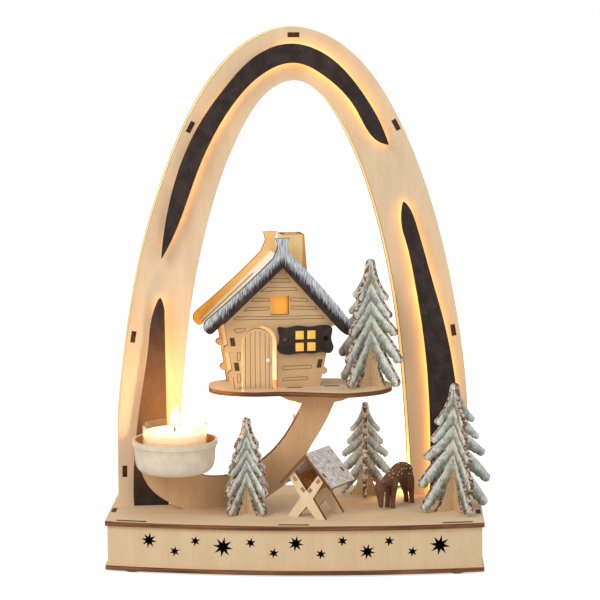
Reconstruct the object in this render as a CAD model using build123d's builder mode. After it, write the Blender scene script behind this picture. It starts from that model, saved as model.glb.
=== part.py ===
from build123d import *

import os
from math import cos, degrees, atan2, pi, radians, sin, tan

# A wooden candle arch: a bow-fronted box, a double arch with three dark crescents, a curved bracket
# with a small lit house on a platform, a tealight dish, four trees, a hay rack and a grazing deer.
# Millimetres, +Z up, X to the right along the box, +Y away from the viewer. The origin is the middle
# of the whole object's footprint, at the level that its feet stand on.

# Sheet and fits
ply = 2.8
glue_gap = 0.05
overrun = 2.0

# Box
base_centre_x = -2.5
base_width = 220.0
base_side_depth = 96.5
base_bow = 11.0
base_rear_y = 54.0
base_wall_height = 23.4
side_panel_inset = 1.2
front_panel_inset = 2.1
back_panel_inset = 2.0
front_tab_width = 17.5
front_tab_inset = 15.5
side_tab_length = 10.5
side_tab_inset = 25.0
back_tab_inset = 45.0
foot_height = 1.2
foot_diameter = 9.0
foot_inset = 16.0
foot_front_inset = 4.0

# Stars cut in the front: places as shares of half the box's width and of the wall's height
large_star_radius = 6.1
medium_star_radius = 4.8
small_star_radius = 3.2
star_inner_share = 0.42
star_turn = -10.0
large_star_rays = 8
small_star_rays = 6
large_star_shares = ((-0.372, 0.55), (0.765, 0.575))
medium_star_shares = ((-0.765, 0.663), (0.011, 0.663), (0.385, 0.45))
small_star_shares = (
    (-0.628, 0.408), (-0.518, 0.683), (-0.226, 0.67), (-0.105, 0.417),
    (0.142, 0.396), (0.255, 0.725), (0.499, 0.708), (0.621, 0.429),
)

# Arch: two alike plates, turned a little against the box; curves as shares of half width and height
arch_x = -1.4
arch_y = 16.7
arch_yaw = 8.5
arch_gap = 10.0
arch_side_margin = 4.0
arch_leg_width = 35.0
arch_outer_height = 282.9
arch_inner_height = 251.8
arch_foot_tab = 20.0
arch_outer_shares = (
    (1, 0), (0.987, 0.226), (0.916, 0.421), (0.794, 0.614), (0.597, 0.804), (0.447, 0.898), (0.242, 0.971),
    (0, 1),
)
arch_inner_shares = (
    (1, 0), (0.965, 0.218), (0.876, 0.461), (0.761, 0.627), (0.617, 0.768), (0.395, 0.908), (0.197, 0.978),
    (0, 1),
)
spacer_width = 11.0
spacer_tenon = 6.9
# share across, share up, turn of the spacer in degrees
spacer_place_shares = (
    (0, 0.984, 0), (-0.576, 0.795, 62), (0.576, 0.795, -62), (-0.908, 0.357, 80.5), (0.908, 0.357, -80.5),
    (-0.966, 0.07, 89), (0.966, 0.07, -89),
)

# Crescents, clear of the arch on stand-offs, with lights set in the arch's front plate behind them
crescent_gap = 3.5
standoff_diameter = 5.0
top_crescent_reach = 79.4
top_crescent_height = 273.4
top_crescent_outer_shares = (
    (-1, 0.541), (-0.935, 0.661), (-0.73, 0.818), (-0.491, 0.916), (-0.255, 0.98), (-0.018, 1),
    (0.244, 0.974), (0.483, 0.903), (0.662, 0.814), (0.703, 0.781),
)
top_crescent_inner_shares = (
    (0.703, 0.781), (0.639, 0.786), (0.459, 0.858), (0.232, 0.928), (-0.008, 0.959), (-0.208, 0.941),
    (-0.469, 0.867), (-0.71, 0.739), (-0.916, 0.585), (-1, 0.541),
)
left_crescent_inner = 76.7
left_crescent_foot = 20.7
left_crescent_height = 124.5
# share of the foot's width outwards from its inner corner, share up
left_crescent_shares = (
    (1, 0), (0.96, 0.25), (0.809, 0.466), (0.512, 0.795), (0.311, 0.962), (0.164, 1), (0.089, 0.973),
    (0.056, 0.93),
)
right_crescent_inner = 81.6
right_crescent_foot = 19.4
right_crescent_height = 179.3
right_crescent_shares = (
    (0, 0), (-0.03, 0.317), (-0.216, 0.546), (-0.515, 0.742), (-0.753, 0.859), (-0.915, 0.979), (-0.845, 1),
    (-0.735, 0.989), (-0.546, 0.949), (-0.351, 0.883), (0.01, 0.747), (0.356, 0.618), (0.778, 0.39),
    (0.974, 0.159), (1, 0),
)
# places as shares of the arch's outer half width and height
standoff_place_shares = (
    (-0.686, 0.591), (-0.311, 0.88), (0.02, 0.943), (0.452, 0.792),
    (-0.815, 0.042), (-0.762, 0.381), (0.852, 0.042), (0.783, 0.353), (0.646, 0.573),
)
light_diameter = 5.0
light_tail = 2.0
light_place_shares = (
    (-0.62, 0.677), (-0.44, 0.815), (-0.131, 0.933), (0.178, 0.917), (0.384, 0.832),
    (-0.815, 0.123), (-0.785, 0.28), (0.848, 0.123), (0.812, 0.282), (0.73, 0.441),
)

# Bracket: one curved plate that carries the dish at its left and the platform on its head
bracket_x = -42.3
bracket_y = -5.2
bracket_yaw = 14.0
bracket_thickness = 4.0
bracket_height = 67.2
bracket_reach = 78.0
bracket_foot_left = 25.0
bracket_foot_right = 20.0
bracket_tab_height = 3.0
bracket_tab_place = -4.0
bracket_tab_width = 26.0
bracket_shelf_left = 50.6
bracket_shelf_right = 22.5
# shares of the bracket's reach and height
bracket_left_edge_shares = ((-0.446, 0.076), (-0.573, 0.2), (-0.63, 0.318))
bracket_upper_edge_shares = (
    (-0.247, 0.342), (-0.199, 0.307), (-0.115, 0.281), (-0.006, 0.277), (0.286, 0.4), (0.412, 0.527),
    (0.517, 0.69), (0.614, 0.899),
)
bracket_right_edge_shares = ((0.427, 0.142), (0.508, 0.21), (0.65, 0.472), (0.755, 0.666), (0.855, 0.9))
bracket_head_left_shares = ((0.492, 0.937), (0.397, 1))
bracket_head_right_shares = ((0.93, 0.915), (1, 0.95))
head_tab_width = 9.0
head_tab_place_shares = (0.55, 0.84)

# Dish of unglazed ceramic on a seat disc, with the tealight
dish_place = -32.1
dish_ahead = 14.0
dish_lift = 26.7
dish_foot_diameter = 38.5
dish_rim_diameter = 49.9
dish_height = 18.7
dish_floor = 5.0
dish_wall = 1.75
dish_rim_band = 3.2
dish_rim_step = 0.5
dish_side_lean = 3.0
dish_belly_share = 0.55
dish_middle_share = 0.8
dish_cup_gap = 0.4
seat_diameter = 35.4
seat_gap = 0.3
cup_diameter = 37.6
cup_height = 22.6
cup_wall = 0.5
wax_height = 17.6
wick_diameter = 1.4
wick_above_wax = 4.2
sustainer_diameter = 12.5
sustainer_thickness = 0.3
sustainer_collar_diameter = 3.0
sustainer_collar_height = 3.0

# Platform: a long bean shape; its curve as shares of its length and depth about its middle
platform_x = 1.8
platform_y = 13.8
platform_length = 108.6
platform_depth = 52.0
platform_shares = (
    (-0.499, -0.094), (-0.46, -0.28), (-0.315, -0.43), (-0.221, -0.443), (-0.098, -0.406), (0.007, -0.43),
    (0.118, -0.465), (0.256, -0.5), (0.33, -0.448), (0.422, -0.328), (0.499, -0.076), (0.463, 0.34),
    (0.216, 0.47), (-0.05, 0.49), (-0.433, 0.367), (-0.501, 0.179),
)

# House: front corner, walls that lean outwards, a gable with unlike slopes
house_x = -36.0
house_y = -0.9
house_yaw = 14.0
house_floor_width = 51.3
house_depth = 30.0
house_left_eave = 42.6
house_right_eave = 39.8
house_left_lean = 6.64
house_right_lean = 8.3
house_ridge_place = 28.2
house_ridge_height = 74.2
side_wall_inset = 3.0
side_wall_drop = 2.2
wall_tenon_height = 5.0
wall_tenon_levels = (13.7, 28.6)
log_end_radius = 2.1
log_end_levels = (9.3, 24.6)
log_end_out = 0.6
door_opening_left = 3.9
door_opening_width = 21.6
door_opening_height = 37.6
door_width = 17.4
door_height = 36.4
door_ajar = 14.0
door_knob_diameter = 2.4
door_knob_stem = 1.0
door_knob_stem_diameter = 1.2
door_knob_share = 0.87
door_knob_height = 17.8
window_opening_left = 35.4
window_opening_bottom = 20.9
window_opening_size = 14.0
pane_thickness = 1.0
pane_lap = 2.0
shutter_left = 25.9
shutter_bottom = 20.3
shutter_width = 33.2
shutter_height = 16.6
light_gap_size = 5.5
light_gap_pitch = 7.15
window_middle_place = 42.3
window_middle_height = 27.9
heart_width = 3.0
heart_place_shares = (0.125, 0.855)
heart_height_share = 0.55
heart_half_shares = ((0, 0.25), (0.28, 0.48), (0.5, 0.2), (0, -0.5))
# the wavy outline, anticlockwise from the lower left corner, as shares of width and height
shutter_shares = (
    (0.01, 0.08), (0.13, 0.0), (0.32, 0.01), (0.49, 0.02), (0.64, 0.0), (0.79, 0.05), (0.94, 0.0), (1, 0.2),
    (0.96, 0.5), (0.97, 0.92), (0.79, 1), (0.6, 0.96), (0.3, 1), (0.15, 0.95), (0, 0.97), (0.02, 0.57),
)
attic_opening_left = 21.6
attic_opening_bottom = 43.8
attic_opening_width = 10.9
attic_opening_height = 11.3

# Roof boards and verge boards
verge_ahead = 2.0
verge_left_reach = 47.4
verge_right_reach = 39.6
roof_step = 1.5
roof_short = 5.0
verge_lift = 83.0
finial_height = 89.8
finial_half_width = 4.4
finial_neck_half_width = 2.9
finial_neck_height = 84.6
verge_ridge_low = 72.4
# ends and edges of the verge board about the ridge: share of the reach outwards, share of verge_lift up
verge_left_low_shares = ((0.735, 0.488), (0.86, 0.436), (0.935, 0.415))
verge_left_end_shares = ((0.99, 0.44), (1, 0.478), (0.965, 0.516))
verge_left_top_shares = ((0.53, 0.723), (0.12, 0.941))
verge_right_low_shares = ((0.78, 0.458), (0.93, 0.385), (1, 0.374))
verge_right_end_shares = ((1.04, 0.4), (1.05, 0.45), (1.005, 0.487))
verge_right_top_shares = ((0.34, 0.859), (0.1, 0.975))

# Chimney of four boards on the right slope
chimney_left = 1.6
chimney_width = 13.6
chimney_spread = 2.4
chimney_depth = 14.0
chimney_setback = 8.0
chimney_top = 90.8
chimney_sheet = 2.5

# Light in the house, its holder under the platform and its lead behind the bracket
house_light_place = 44.0
house_light_depth = 9.0
house_light_diameter = 3.2
house_light_drop = 13.0
house_light_rise = 3.0
lead_diameter = 1.2
lead_foot_place = 14.0
# where the lead turns, as shares of the bracket's reach and height
lead_first_turn_share = 0.7
lead_turn_shares = ((0.564, 0.537), (0.462, 0.358), (0.282, 0.2))
lead_last_turn_share = 0.1

# Trees: two plates lapped across each other; half an outline as shares of half width and height
large_tree_height = 76.0
large_tree_half_width = 23.2
small_tree_height = 57.0
small_tree_half_width = 16.6
# each tier: where its upper edge starts, bends and ends, its tip and its lower corner
tree_tier_shares = (
    ((0.12, 0.965), (0.25, 0.835), (0.5, 0.735), (0.545, 0.703), (0.48, 0.685)),
    ((0.2, 0.752), (0.4, 0.675), (0.62, 0.6), (0.665, 0.568), (0.6, 0.548)),
    ((0.22, 0.622), (0.5, 0.55), (0.8, 0.47), (0.85, 0.438), (0.78, 0.418)),
    ((0.25, 0.495), (0.6, 0.395), (0.95, 0.27), (1, 0.232), (0.92, 0.205)),
    ((0.27, 0.345), (0.58, 0.22), (0.88, 0.085), (0.93, 0.045), (0.84, 0.015)),
)
tree_tuft_counts = (2, 3, 4, 4, 4)
tree_trunk_shares = ((0.27, 0.17), (0.38, 0.07), (0.56, 0))
# depth of each tier's outermost tuft as a share of the half width
tree_tuft_depth_shares = (0.03, 0.018, 0.05, 0.05, 0.05)
# places on the plates and the turn of each first plate
platform_tree_x = 43.9
platform_tree_y = 15.1
platform_tree_yaw = -37.6
front_left_tree_x = -28.5
front_left_tree_y = -20.3
front_left_tree_yaw = -43.0
rear_centre_tree_x = 40.7
rear_centre_tree_y = 29.2
rear_centre_tree_yaw = 0.0
front_right_tree_x = 93.5
front_right_tree_y = -11.3
front_right_tree_yaw = 25.0

# Hay rack: two crossed legs, a trough of two slatted boards and a roof
rack_x = 6.9
rack_y = -32.4
rack_yaw = -28.0
rack_sheet = 2.0
rack_length = 23.3
rack_foot_outer = 12.4
rack_foot_inner = 5.9
rack_crotch_low = 6.8
rack_crotch_high = 16.0
rack_waist = 4.2
rack_waist_height = 11.7
rack_arm_outer = 11.6
rack_arm_inner = 8.1
rack_roof_slope = 47.0
rack_roof_ridge = 35.3
rack_roof_reach = 15.9
rack_roof_front = 1.5
rack_roof_rear = 3.8
rack_roof_tenon = 3.0
trough_tenon = 3.0
trough_low = 1.6
trough_high = 11.4
trough_tenon_levels = (2.0, 10.0)
trough_rail = 1.6
trough_bar = 1.4
trough_gap_count = 4

# Deer: rounded sections along its body, head and legs, as shares of its height
deer_x = 61.3
deer_y = 1.5
deer_yaw = 51.9
deer_height = 25.8
# along, up, half width, half height
deer_body_shares = (
    (0.41, 0.745, 0.045, 0.05), (0.365, 0.745, 0.11, 0.14), (0.28, 0.75, 0.155, 0.2),
    (0.14, 0.765, 0.168, 0.228), (-0.04, 0.768, 0.16, 0.232), (-0.21, 0.74, 0.148, 0.2),
    (-0.37, 0.7, 0.125, 0.162), (-0.52, 0.645, 0.105, 0.128), (-0.66, 0.59, 0.095, 0.11),
)
# along, up, half size of the head's level sections from the poll down to the muzzle
deer_head_shares = (
    (-0.7, 0.68, 0.05), (-0.72, 0.64, 0.1), (-0.735, 0.53, 0.122), (-0.725, 0.37, 0.098),
    (-0.705, 0.22, 0.072), (-0.695, 0.1, 0.052),
)
# along, out to the side, up, half size
deer_hind_leg_shares = (
    (0.2, 0.06, 0.74, 0.13), (0.26, 0.09, 0.52, 0.115), (0.33, 0.088, 0.28, 0.07), (0.366, 0.083, 0, 0.064),
)
deer_front_leg_shares = (
    (-0.27, 0.05, 0.7, 0.1), (-0.3, 0.078, 0.52, 0.085), (-0.335, 0.078, 0.28, 0.064),
    (-0.36, 0.083, 0, 0.06),
)
# along, out to the side, up, half size
deer_ear_shares = ((-0.69, 0.06, 0.64, 0.035), (-0.72, 0.15, 0.68, 0.058), (-0.745, 0.235, 0.71, 0.014))
deer_muzzle_share = 0.052

# Battery case behind the back panel, with two cells, contacts and a door that swings down
case_x = -34.0
case_lift = 1.6
case_height = 20.2
case_inner_width = 57.0
case_inner_depth = 34.0
case_wall = 1.5
case_rim = 1.2
case_rim_thickness = 1.2
door_gap = 0.3
battery_door_thickness = 2.4
hinge_pin_diameter = 1.6
hinge_pin_gap = 0.05
hinge_pin_length = 1.2
door_grip_height = 2.0
door_grip_depth = 0.8
door_grip_width = 14.0
cell_diameter = 14.3
cell_length = 49.5
cell_nub_diameter = 5.5
cell_nub_length = 1.0
cell_gap = 0.2
cell_rest_gap = 0.05
contact_thickness = 0.5
contact_size = 9.0
spring_diameter = 7.0
spring_tip_diameter = 4.0

# Slide switch beside the battery case
switch_x = 30.0
switch_width = 14.0
switch_height = 7.0
switch_depth = 6.0
switch_pocket_depth = 3.0
switch_slot_height = 3.4
switch_travel = 3.0
slider_width = 4.0
slider_height = 3.0
slider_proud = 1.6
slider_gap = 0.1

# Levels and places that follow
base_bottom = foot_height
panel_bottom = base_bottom + ply
panel_top = panel_bottom + base_wall_height
base_top = panel_top + ply
base_front_y = base_rear_y - base_side_depth
case_level = panel_bottom + case_lift
front_tab_spacing = base_width / 2 - front_tab_inset
back_tab_spacing = base_width - 2 * back_tab_inset
arch_outer_half_width = base_width / 2 - arch_side_margin
arch_inner_half_width = arch_outer_half_width - arch_leg_width
bow_radius = ((base_width / 2) ** 2 + base_bow ** 2) / (2 * base_bow)
bow_centre_y = base_front_y - base_bow + bow_radius
panel_half_span = base_width / 2 - side_panel_inset
side_panel_x = panel_half_span - ply / 2
back_panel_rear = base_rear_y - back_panel_inset
back_panel_front = back_panel_rear - ply
side_panel_middle = (base_front_y + front_panel_inset + ply + back_panel_front) / 2
side_tab_spacing = back_panel_front - base_front_y - 2 * side_tab_inset
platform_level = base_top + bracket_height
platform_top = platform_level + ply


def spot(x, y, z):
    """A point given from the box's middle."""
    return (base_centre_x + x, y, z)


def upright(x, y, z, yaw):
    """A vertical plane that faces the viewer, its local X turned by yaw from the box's front."""
    turn = radians(yaw)
    return Plane(origin=spot(x, y, z), x_dir=(cos(turn), sin(turn), 0), z_dir=(sin(turn), -cos(turn), 0))


def sized(shares, width, height, start=0):
    """Points of an outline from shares of a width, counted from start, and of a height."""
    return [(start + width * across, height * up) for across, up in shares]


def finish(part, name):
    """Label a piece and write it."""
    part.label = name
    export_step(part, f"parts/{name}.step")


os.makedirs("parts", exist_ok=True)

arch_front = upright(arch_x, arch_y, base_top, arch_yaw)
arch_rear = arch_front.offset(-ply - arch_gap)
crescent_rear = arch_front.offset(crescent_gap)
bracket_front = upright(bracket_x, bracket_y, base_top, bracket_yaw)
house_front = upright(house_x, house_y, platform_top, house_yaw)


# Box

def base_outline():
    """Plan of the top and bottom plates: straight at the sides and back, bowed at the front."""
    half = base_width / 2
    with BuildLine() as edge:
        ThreePointArc(
            spot(-half, base_front_y, 0), spot(0, base_front_y - base_bow, 0), spot(half, base_front_y, 0)
        )
        Polyline(
            spot(half, base_front_y, 0), spot(half, base_rear_y, 0), spot(-half, base_rear_y, 0),
            spot(-half, base_front_y, 0),
        )
    make_face(edge.edges())


def front_band(middle, width, gap):
    """Plan of the bent front panel, or of one of its tabs."""
    with Locations((base_centre_x, bow_centre_y)):
        Circle(bow_radius - front_panel_inset + gap)
        Circle(bow_radius - front_panel_inset - ply - gap, mode=Mode.SUBTRACT)
    with Locations((base_centre_x + middle, base_front_y)):
        Rectangle(width + 2 * gap, 4 * base_bow, mode=Mode.INTERSECT)


def side_tabs(side, gap):
    """Plan of the tenons of one side panel."""
    for k in (-1, 1):
        place = spot(side * side_panel_x, side_panel_middle + k * side_tab_spacing / 2, 0)
        with Locations(place[:2]):
            Rectangle(ply + 2 * gap, side_tab_length + 2 * gap)


def back_tabs(gap):
    """Plan of the tenons of the back panel."""
    with Locations(*[spot(k * back_tab_spacing / 2, back_panel_front + ply / 2, 0)[:2] for k in (-1, 1)]):
        Rectangle(front_tab_width + 2 * gap, ply + 2 * gap)


def cut_wall_slots(level):
    """Slots of all four walls through a plate that starts at level."""
    for middle in (-front_tab_spacing, 0, front_tab_spacing):
        with BuildSketch(Plane.XY.offset(level)) as slot:
            front_band(middle, front_tab_width, glue_gap)
        extrude(slot.sketch, amount=ply, mode=Mode.SUBTRACT)
    with BuildSketch(Plane.XY.offset(level)) as slots:
        side_tabs(-1, glue_gap)
        side_tabs(1, glue_gap)
        back_tabs(glue_gap)
    extrude(slots.sketch, amount=ply, mode=Mode.SUBTRACT)


arch_leg_middle = (arch_inner_half_width + arch_outer_half_width) / 2


def arch_foot_tabs(gap):
    """Tabs under both legs of an arch plate, in the plate's plane."""
    with Locations((-arch_leg_middle, -ply / 2), (arch_leg_middle, -ply / 2)):
        Rectangle(arch_foot_tab + 2 * gap, ply)


def bracket_foot_tab(gap):
    """Tab under the bracket's foot, in the bracket's plane."""
    with Locations((bracket_tab_place, -bracket_tab_height / 2)):
        Rectangle(bracket_tab_width + 2 * gap, bracket_tab_height)


lead_depth = bracket_thickness + lead_diameter / 2 + glue_gap
lead_foot = bracket_front.from_local_coords((lead_foot_place, 0, -lead_depth))

with BuildPart() as base_top_plate:
    with BuildSketch(Plane.XY.offset(panel_top)):
        base_outline()
    extrude(amount=ply)
    cut_wall_slots(panel_top)
    for plane in (arch_front, arch_rear):
        with BuildSketch(plane.offset(glue_gap)):
            arch_foot_tabs(glue_gap)
        extrude(amount=-ply - 2 * glue_gap, mode=Mode.SUBTRACT)
    with BuildSketch(bracket_front.offset(glue_gap)):
        bracket_foot_tab(glue_gap)
    extrude(amount=-bracket_thickness - 2 * glue_gap, mode=Mode.SUBTRACT)
    with BuildSketch(Plane.XY.offset(panel_top)):
        with Locations((lead_foot.X, lead_foot.Y)):
            Circle(lead_diameter / 2 + glue_gap)
    extrude(amount=ply, mode=Mode.SUBTRACT)

with BuildPart() as base_bottom_plate:
    with BuildSketch(Plane.XY.offset(base_bottom)):
        base_outline()
    extrude(amount=ply)
    cut_wall_slots(base_bottom)


def star(radius, rays):
    """A star with straight rays, one ray up before its turn."""
    corners = []
    for k in range(2 * rays):
        reach = radius if k % 2 == 0 else radius * star_inner_share
        angle = radians(star_turn) + pi / 2 + k * pi / rays
        corners.append((reach * cos(angle), reach * sin(angle)))
    Polygon(*corners, align=None)


def star_places(shares):
    """Star places on the front, from the box's middle and the wall's foot."""
    return [(share_x * base_width / 2, share_z * base_wall_height) for share_x, share_z in shares]


with BuildPart() as base_front_panel:
    with BuildSketch(Plane.XY.offset(panel_bottom)):
        front_band(0, 2 * panel_half_span, 0)
    extrude(amount=base_wall_height)
    for middle in (-front_tab_spacing, 0, front_tab_spacing):
        with BuildSketch(Plane.XY.offset(base_bottom)):
            front_band(middle, front_tab_width, 0)
        extrude(amount=base_wall_height + 2 * ply)
    with BuildSketch(upright(0, base_front_y - base_bow - overrun, panel_bottom, 0)):
        with Locations(*star_places(large_star_shares)):
            star(large_star_radius, large_star_rays)
        with Locations(*star_places(medium_star_shares)):
            star(medium_star_radius, large_star_rays)
        with Locations(*star_places(small_star_shares)):
            star(small_star_radius, small_star_rays)
    extrude(amount=-base_bow - front_panel_inset - ply - 2 * overrun, mode=Mode.SUBTRACT)


def side_panel(side):
    """One side wall, its front end cut along the bent front panel."""
    length = base_side_depth - back_panel_inset - ply
    with BuildPart() as panel:
        with BuildSketch(Plane.XY.offset(panel_bottom)):
            with Locations(spot(side * side_panel_x, back_panel_front - length / 2, 0)[:2]):
                Rectangle(ply, length)
            with Locations((base_centre_x, bow_centre_y)):
                Circle(bow_radius - front_panel_inset - ply, mode=Mode.INTERSECT)
        extrude(amount=base_wall_height)
        with BuildSketch(Plane.XY.offset(base_bottom)):
            side_tabs(side, 0)
        extrude(amount=base_wall_height + 2 * ply)
    return panel.part


base_left_panel = side_panel(-1)
base_right_panel = side_panel(1)

case_outer_width = case_inner_width + 2 * case_wall
case_middle_level = case_level + case_height / 2

with BuildPart() as base_back_panel:
    back_plane = upright(0, back_panel_front, panel_bottom, 0)
    with BuildSketch(back_plane):
        with Locations((0, base_wall_height / 2)):
            Rectangle(2 * panel_half_span, base_wall_height)
    extrude(amount=-ply)
    with BuildSketch(Plane.XY.offset(base_bottom)):
        back_tabs(0)
    extrude(amount=base_wall_height + 2 * ply)
    with BuildSketch(upright(0, back_panel_front - overrun, 0, 0)):
        with Locations((case_x, case_middle_level)):
            Rectangle(case_outer_width + 2 * glue_gap, case_height + 2 * glue_gap)
        with Locations((switch_x, case_middle_level)):
            Rectangle(slider_width + switch_travel + 2 * slider_gap, switch_slot_height)
    extrude(amount=-ply - 2 * overrun, mode=Mode.SUBTRACT)

with BuildPart() as base_feet:
    foot_x = base_width / 2 - foot_inset
    with BuildSketch(Plane.XY):
        with Locations(
            spot(-foot_x, base_front_y + foot_front_inset, 0)[:2],
            spot(foot_x, base_front_y + foot_front_inset, 0)[:2],
            spot(-foot_x, base_rear_y - foot_inset, 0)[:2],
            spot(foot_x, base_rear_y - foot_inset, 0)[:2],
        ):
            Circle(foot_diameter / 2)
    extrude(amount=foot_height)

finish(base_top_plate.part, "base_top_plate")
finish(base_bottom_plate.part, "base_bottom_plate")
finish(base_front_panel.part, "base_front_panel")
finish(base_left_panel, "base_left_panel")
finish(base_right_panel, "base_right_panel")
finish(base_back_panel.part, "base_back_panel")
finish(base_feet.part, "base_feet")


# Arch

def mirrored(shares, half_width, height):
    """Points of an even curve from its right foot over the top to its left foot."""
    right = sized(shares, half_width, height)
    return right + [(-x, y) for x, y in reversed(right[:-1])]


def arch_outline():
    """Face of an arch plate between its outer and inner curves."""
    with BuildLine() as edge:
        outer = Spline(
            *mirrored(arch_outer_shares, arch_outer_half_width, arch_outer_height), tangents=((0, 1), (0, -1))
        )
        inner = Spline(
            *mirrored(arch_inner_shares, arch_inner_half_width, arch_inner_height), tangents=((0, 1), (0, -1))
        )
        Line(outer @ 0, inner @ 0)
        Line(outer @ 1, inner @ 1)
    make_face(edge.edges())


def spacer_sections(width, gap, mode):
    """Sections of all spacers, or of their tenons, in the arch's plane."""
    for across, up, turn in spacer_place_shares:
        with Locations((across * arch_outer_half_width, up * arch_outer_height)):
            Rectangle(width + 2 * gap, ply + 2 * gap, rotation=turn, mode=mode)


def arch_places(shares):
    """Places on the arch's face."""
    return sized(shares, arch_outer_half_width, arch_outer_height)


def arch_plate(plane, with_lights):
    """One arch plate with tabs at its feet and holes for the spacers' tenons."""
    with BuildPart() as plate:
        with BuildSketch(plane):
            arch_outline()
            arch_foot_tabs(0)
            spacer_sections(spacer_tenon, glue_gap, Mode.SUBTRACT)
            if with_lights:
                with Locations(*arch_places(light_place_shares)):
                    Circle(light_diameter / 2, mode=Mode.SUBTRACT)
        extrude(amount=-ply)
    return plate.part


arch_front_plate = arch_plate(arch_front, True)
arch_back_plate = arch_plate(arch_rear, False)

with BuildPart() as arch_spacers:
    with BuildSketch(arch_front.offset(-ply)):
        spacer_sections(spacer_width, 0, Mode.ADD)
    extrude(amount=-arch_gap)
    with BuildSketch(arch_front):
        spacer_sections(spacer_tenon, 0, Mode.ADD)
    extrude(amount=-arch_gap - 2 * ply)

with BuildPart() as arch_lights:
    light_radius = light_diameter / 2 - glue_gap
    with BuildSketch(arch_front.offset(-ply - light_tail)):
        with Locations(*arch_places(light_place_shares)):
            Circle(light_radius)
    extrude(amount=ply + light_tail)
    with Locations(arch_front):
        with Locations(*[(x, y, 0) for x, y in arch_places(light_place_shares)]):
            Sphere(light_radius)

finish(arch_front_plate, "arch_front_plate")
finish(arch_back_plate, "arch_back_plate")
finish(arch_spacers.part, "arch_spacers")
finish(arch_lights.part, "arch_lights")


# Crescents

with BuildPart() as top_crescent:
    with BuildSketch(crescent_rear):
        with BuildLine():
            Spline(*sized(top_crescent_outer_shares, top_crescent_reach, top_crescent_height))
            Spline(*sized(top_crescent_inner_shares, top_crescent_reach, top_crescent_height))
        make_face()
    extrude(amount=ply)

with BuildPart() as left_crescent:
    with BuildSketch(crescent_rear):
        with BuildLine():
            points = sized(
                left_crescent_shares, -left_crescent_foot, left_crescent_height, -left_crescent_inner
            )
            edge = Spline(*points)
            Polyline(edge @ 1, (-left_crescent_inner, 0), edge @ 0)
        make_face()
    extrude(amount=ply)

with BuildPart() as right_crescent:
    with BuildSketch(crescent_rear):
        with BuildLine():
            points = sized(
                right_crescent_shares, right_crescent_foot, right_crescent_height, right_crescent_inner
            )
            edge = Spline(*points)
            Line(edge @ 1, edge @ 0)
        make_face()
    extrude(amount=ply)

with BuildPart() as crescent_standoffs:
    with BuildSketch(arch_front):
        with Locations(*arch_places(standoff_place_shares)):
            Circle(standoff_diameter / 2)
    extrude(amount=crescent_gap)

finish(top_crescent.part, "top_crescent")
finish(left_crescent.part, "left_crescent")
finish(right_crescent.part, "right_crescent")
finish(crescent_standoffs.part, "crescent_standoffs")


# Bracket

def head_tabs(gap):
    """Tabs on the bracket's head that pass through the platform."""
    with Locations(*[(share * bracket_reach, bracket_height + ply / 2) for share in head_tab_place_shares]):
        Rectangle(head_tab_width + 2 * gap, ply)


with BuildPart() as curved_bracket:
    with BuildSketch(bracket_front):
        with BuildLine():
            left = Spline(
                (-bracket_foot_left, 0), *sized(bracket_left_edge_shares, bracket_reach, bracket_height),
                (-bracket_shelf_left, dish_lift),
            )
            shelf = Line(left @ 1, (-bracket_shelf_right, dish_lift))
            upper = Spline(shelf @ 1, *sized(bracket_upper_edge_shares, bracket_reach, bracket_height))
            head_left = sized(bracket_head_left_shares, bracket_reach, bracket_height)
            left_flare = ThreePointArc(upper @ 1, *head_left)
            head_right = sized(bracket_head_right_shares, bracket_reach, bracket_height)
            Polyline(left_flare @ 1, (bracket_reach, bracket_height), head_right[1])
            right = Spline(
                (bracket_foot_right, 0), *sized(bracket_right_edge_shares, bracket_reach, bracket_height)
            )
            ThreePointArc(head_right[1], head_right[0], right @ 1)
            Line(right @ 0, left @ 0)
        make_face()
        bracket_foot_tab(0)
        head_tabs(0)
    extrude(amount=-bracket_thickness)

finish(curved_bracket.part, "curved_bracket")


# Dish and tealight

dish_centre = bracket_front.from_local_coords((dish_place, dish_lift, dish_ahead))
dish_plane = Plane(origin=dish_centre, x_dir=bracket_front.x_dir, z_dir=(0, 0, 1))
dish_section = Plane(origin=dish_centre, x_dir=bracket_front.x_dir, z_dir=bracket_front.z_dir)

with BuildPart() as dish_seat:
    with BuildSketch(dish_plane):
        Circle(seat_diameter / 2)
    extrude(amount=ply)

rim_radius = dish_rim_diameter / 2
side_radius = rim_radius - dish_rim_step
side_top = dish_height - dish_rim_band
foot_radius = dish_foot_diameter / 2
belly_radius = foot_radius + dish_belly_share * (side_radius - foot_radius)
middle_radius = foot_radius + dish_middle_share * (side_radius - foot_radius)
seat_recess = seat_diameter / 2 + seat_gap
cup_radius = cup_diameter / 2
well_radius = cup_radius + dish_cup_gap

with BuildPart() as candle_dish:
    with BuildSketch(dish_section):
        with BuildLine():
            Polyline((seat_recess, 0), (foot_radius, 0))
            Spline(
                (foot_radius, 0), (belly_radius, dish_floor / 2), (middle_radius, dish_height / 2),
                (side_radius, side_top),
            )
            Polyline(
                (side_radius, side_top), (rim_radius, side_top + dish_rim_step),
                (rim_radius, dish_height), (rim_radius - dish_wall, dish_height),
                (side_radius - dish_wall, side_top),
            )
            Spline(
                (side_radius - dish_wall, side_top),
                (side_radius - dish_side_lean, dish_floor + dish_rim_band),
                (well_radius, dish_floor),
            )
            Polyline(
                (well_radius, dish_floor), (0, dish_floor), (0, ply), (seat_recess, ply), (seat_recess, 0)
            )
        make_face()
    revolve(axis=Axis(origin=dish_centre, direction=(0, 0, 1)))

cup_plane = dish_plane.offset(dish_floor)

with BuildPart() as tealight_cup:
    with BuildSketch(cup_plane):
        Circle(cup_radius)
    extrude(amount=cup_height)
    with BuildSketch(cup_plane.offset(cup_wall)):
        Circle(cup_radius - cup_wall)
    extrude(amount=cup_height, mode=Mode.SUBTRACT)

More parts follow.
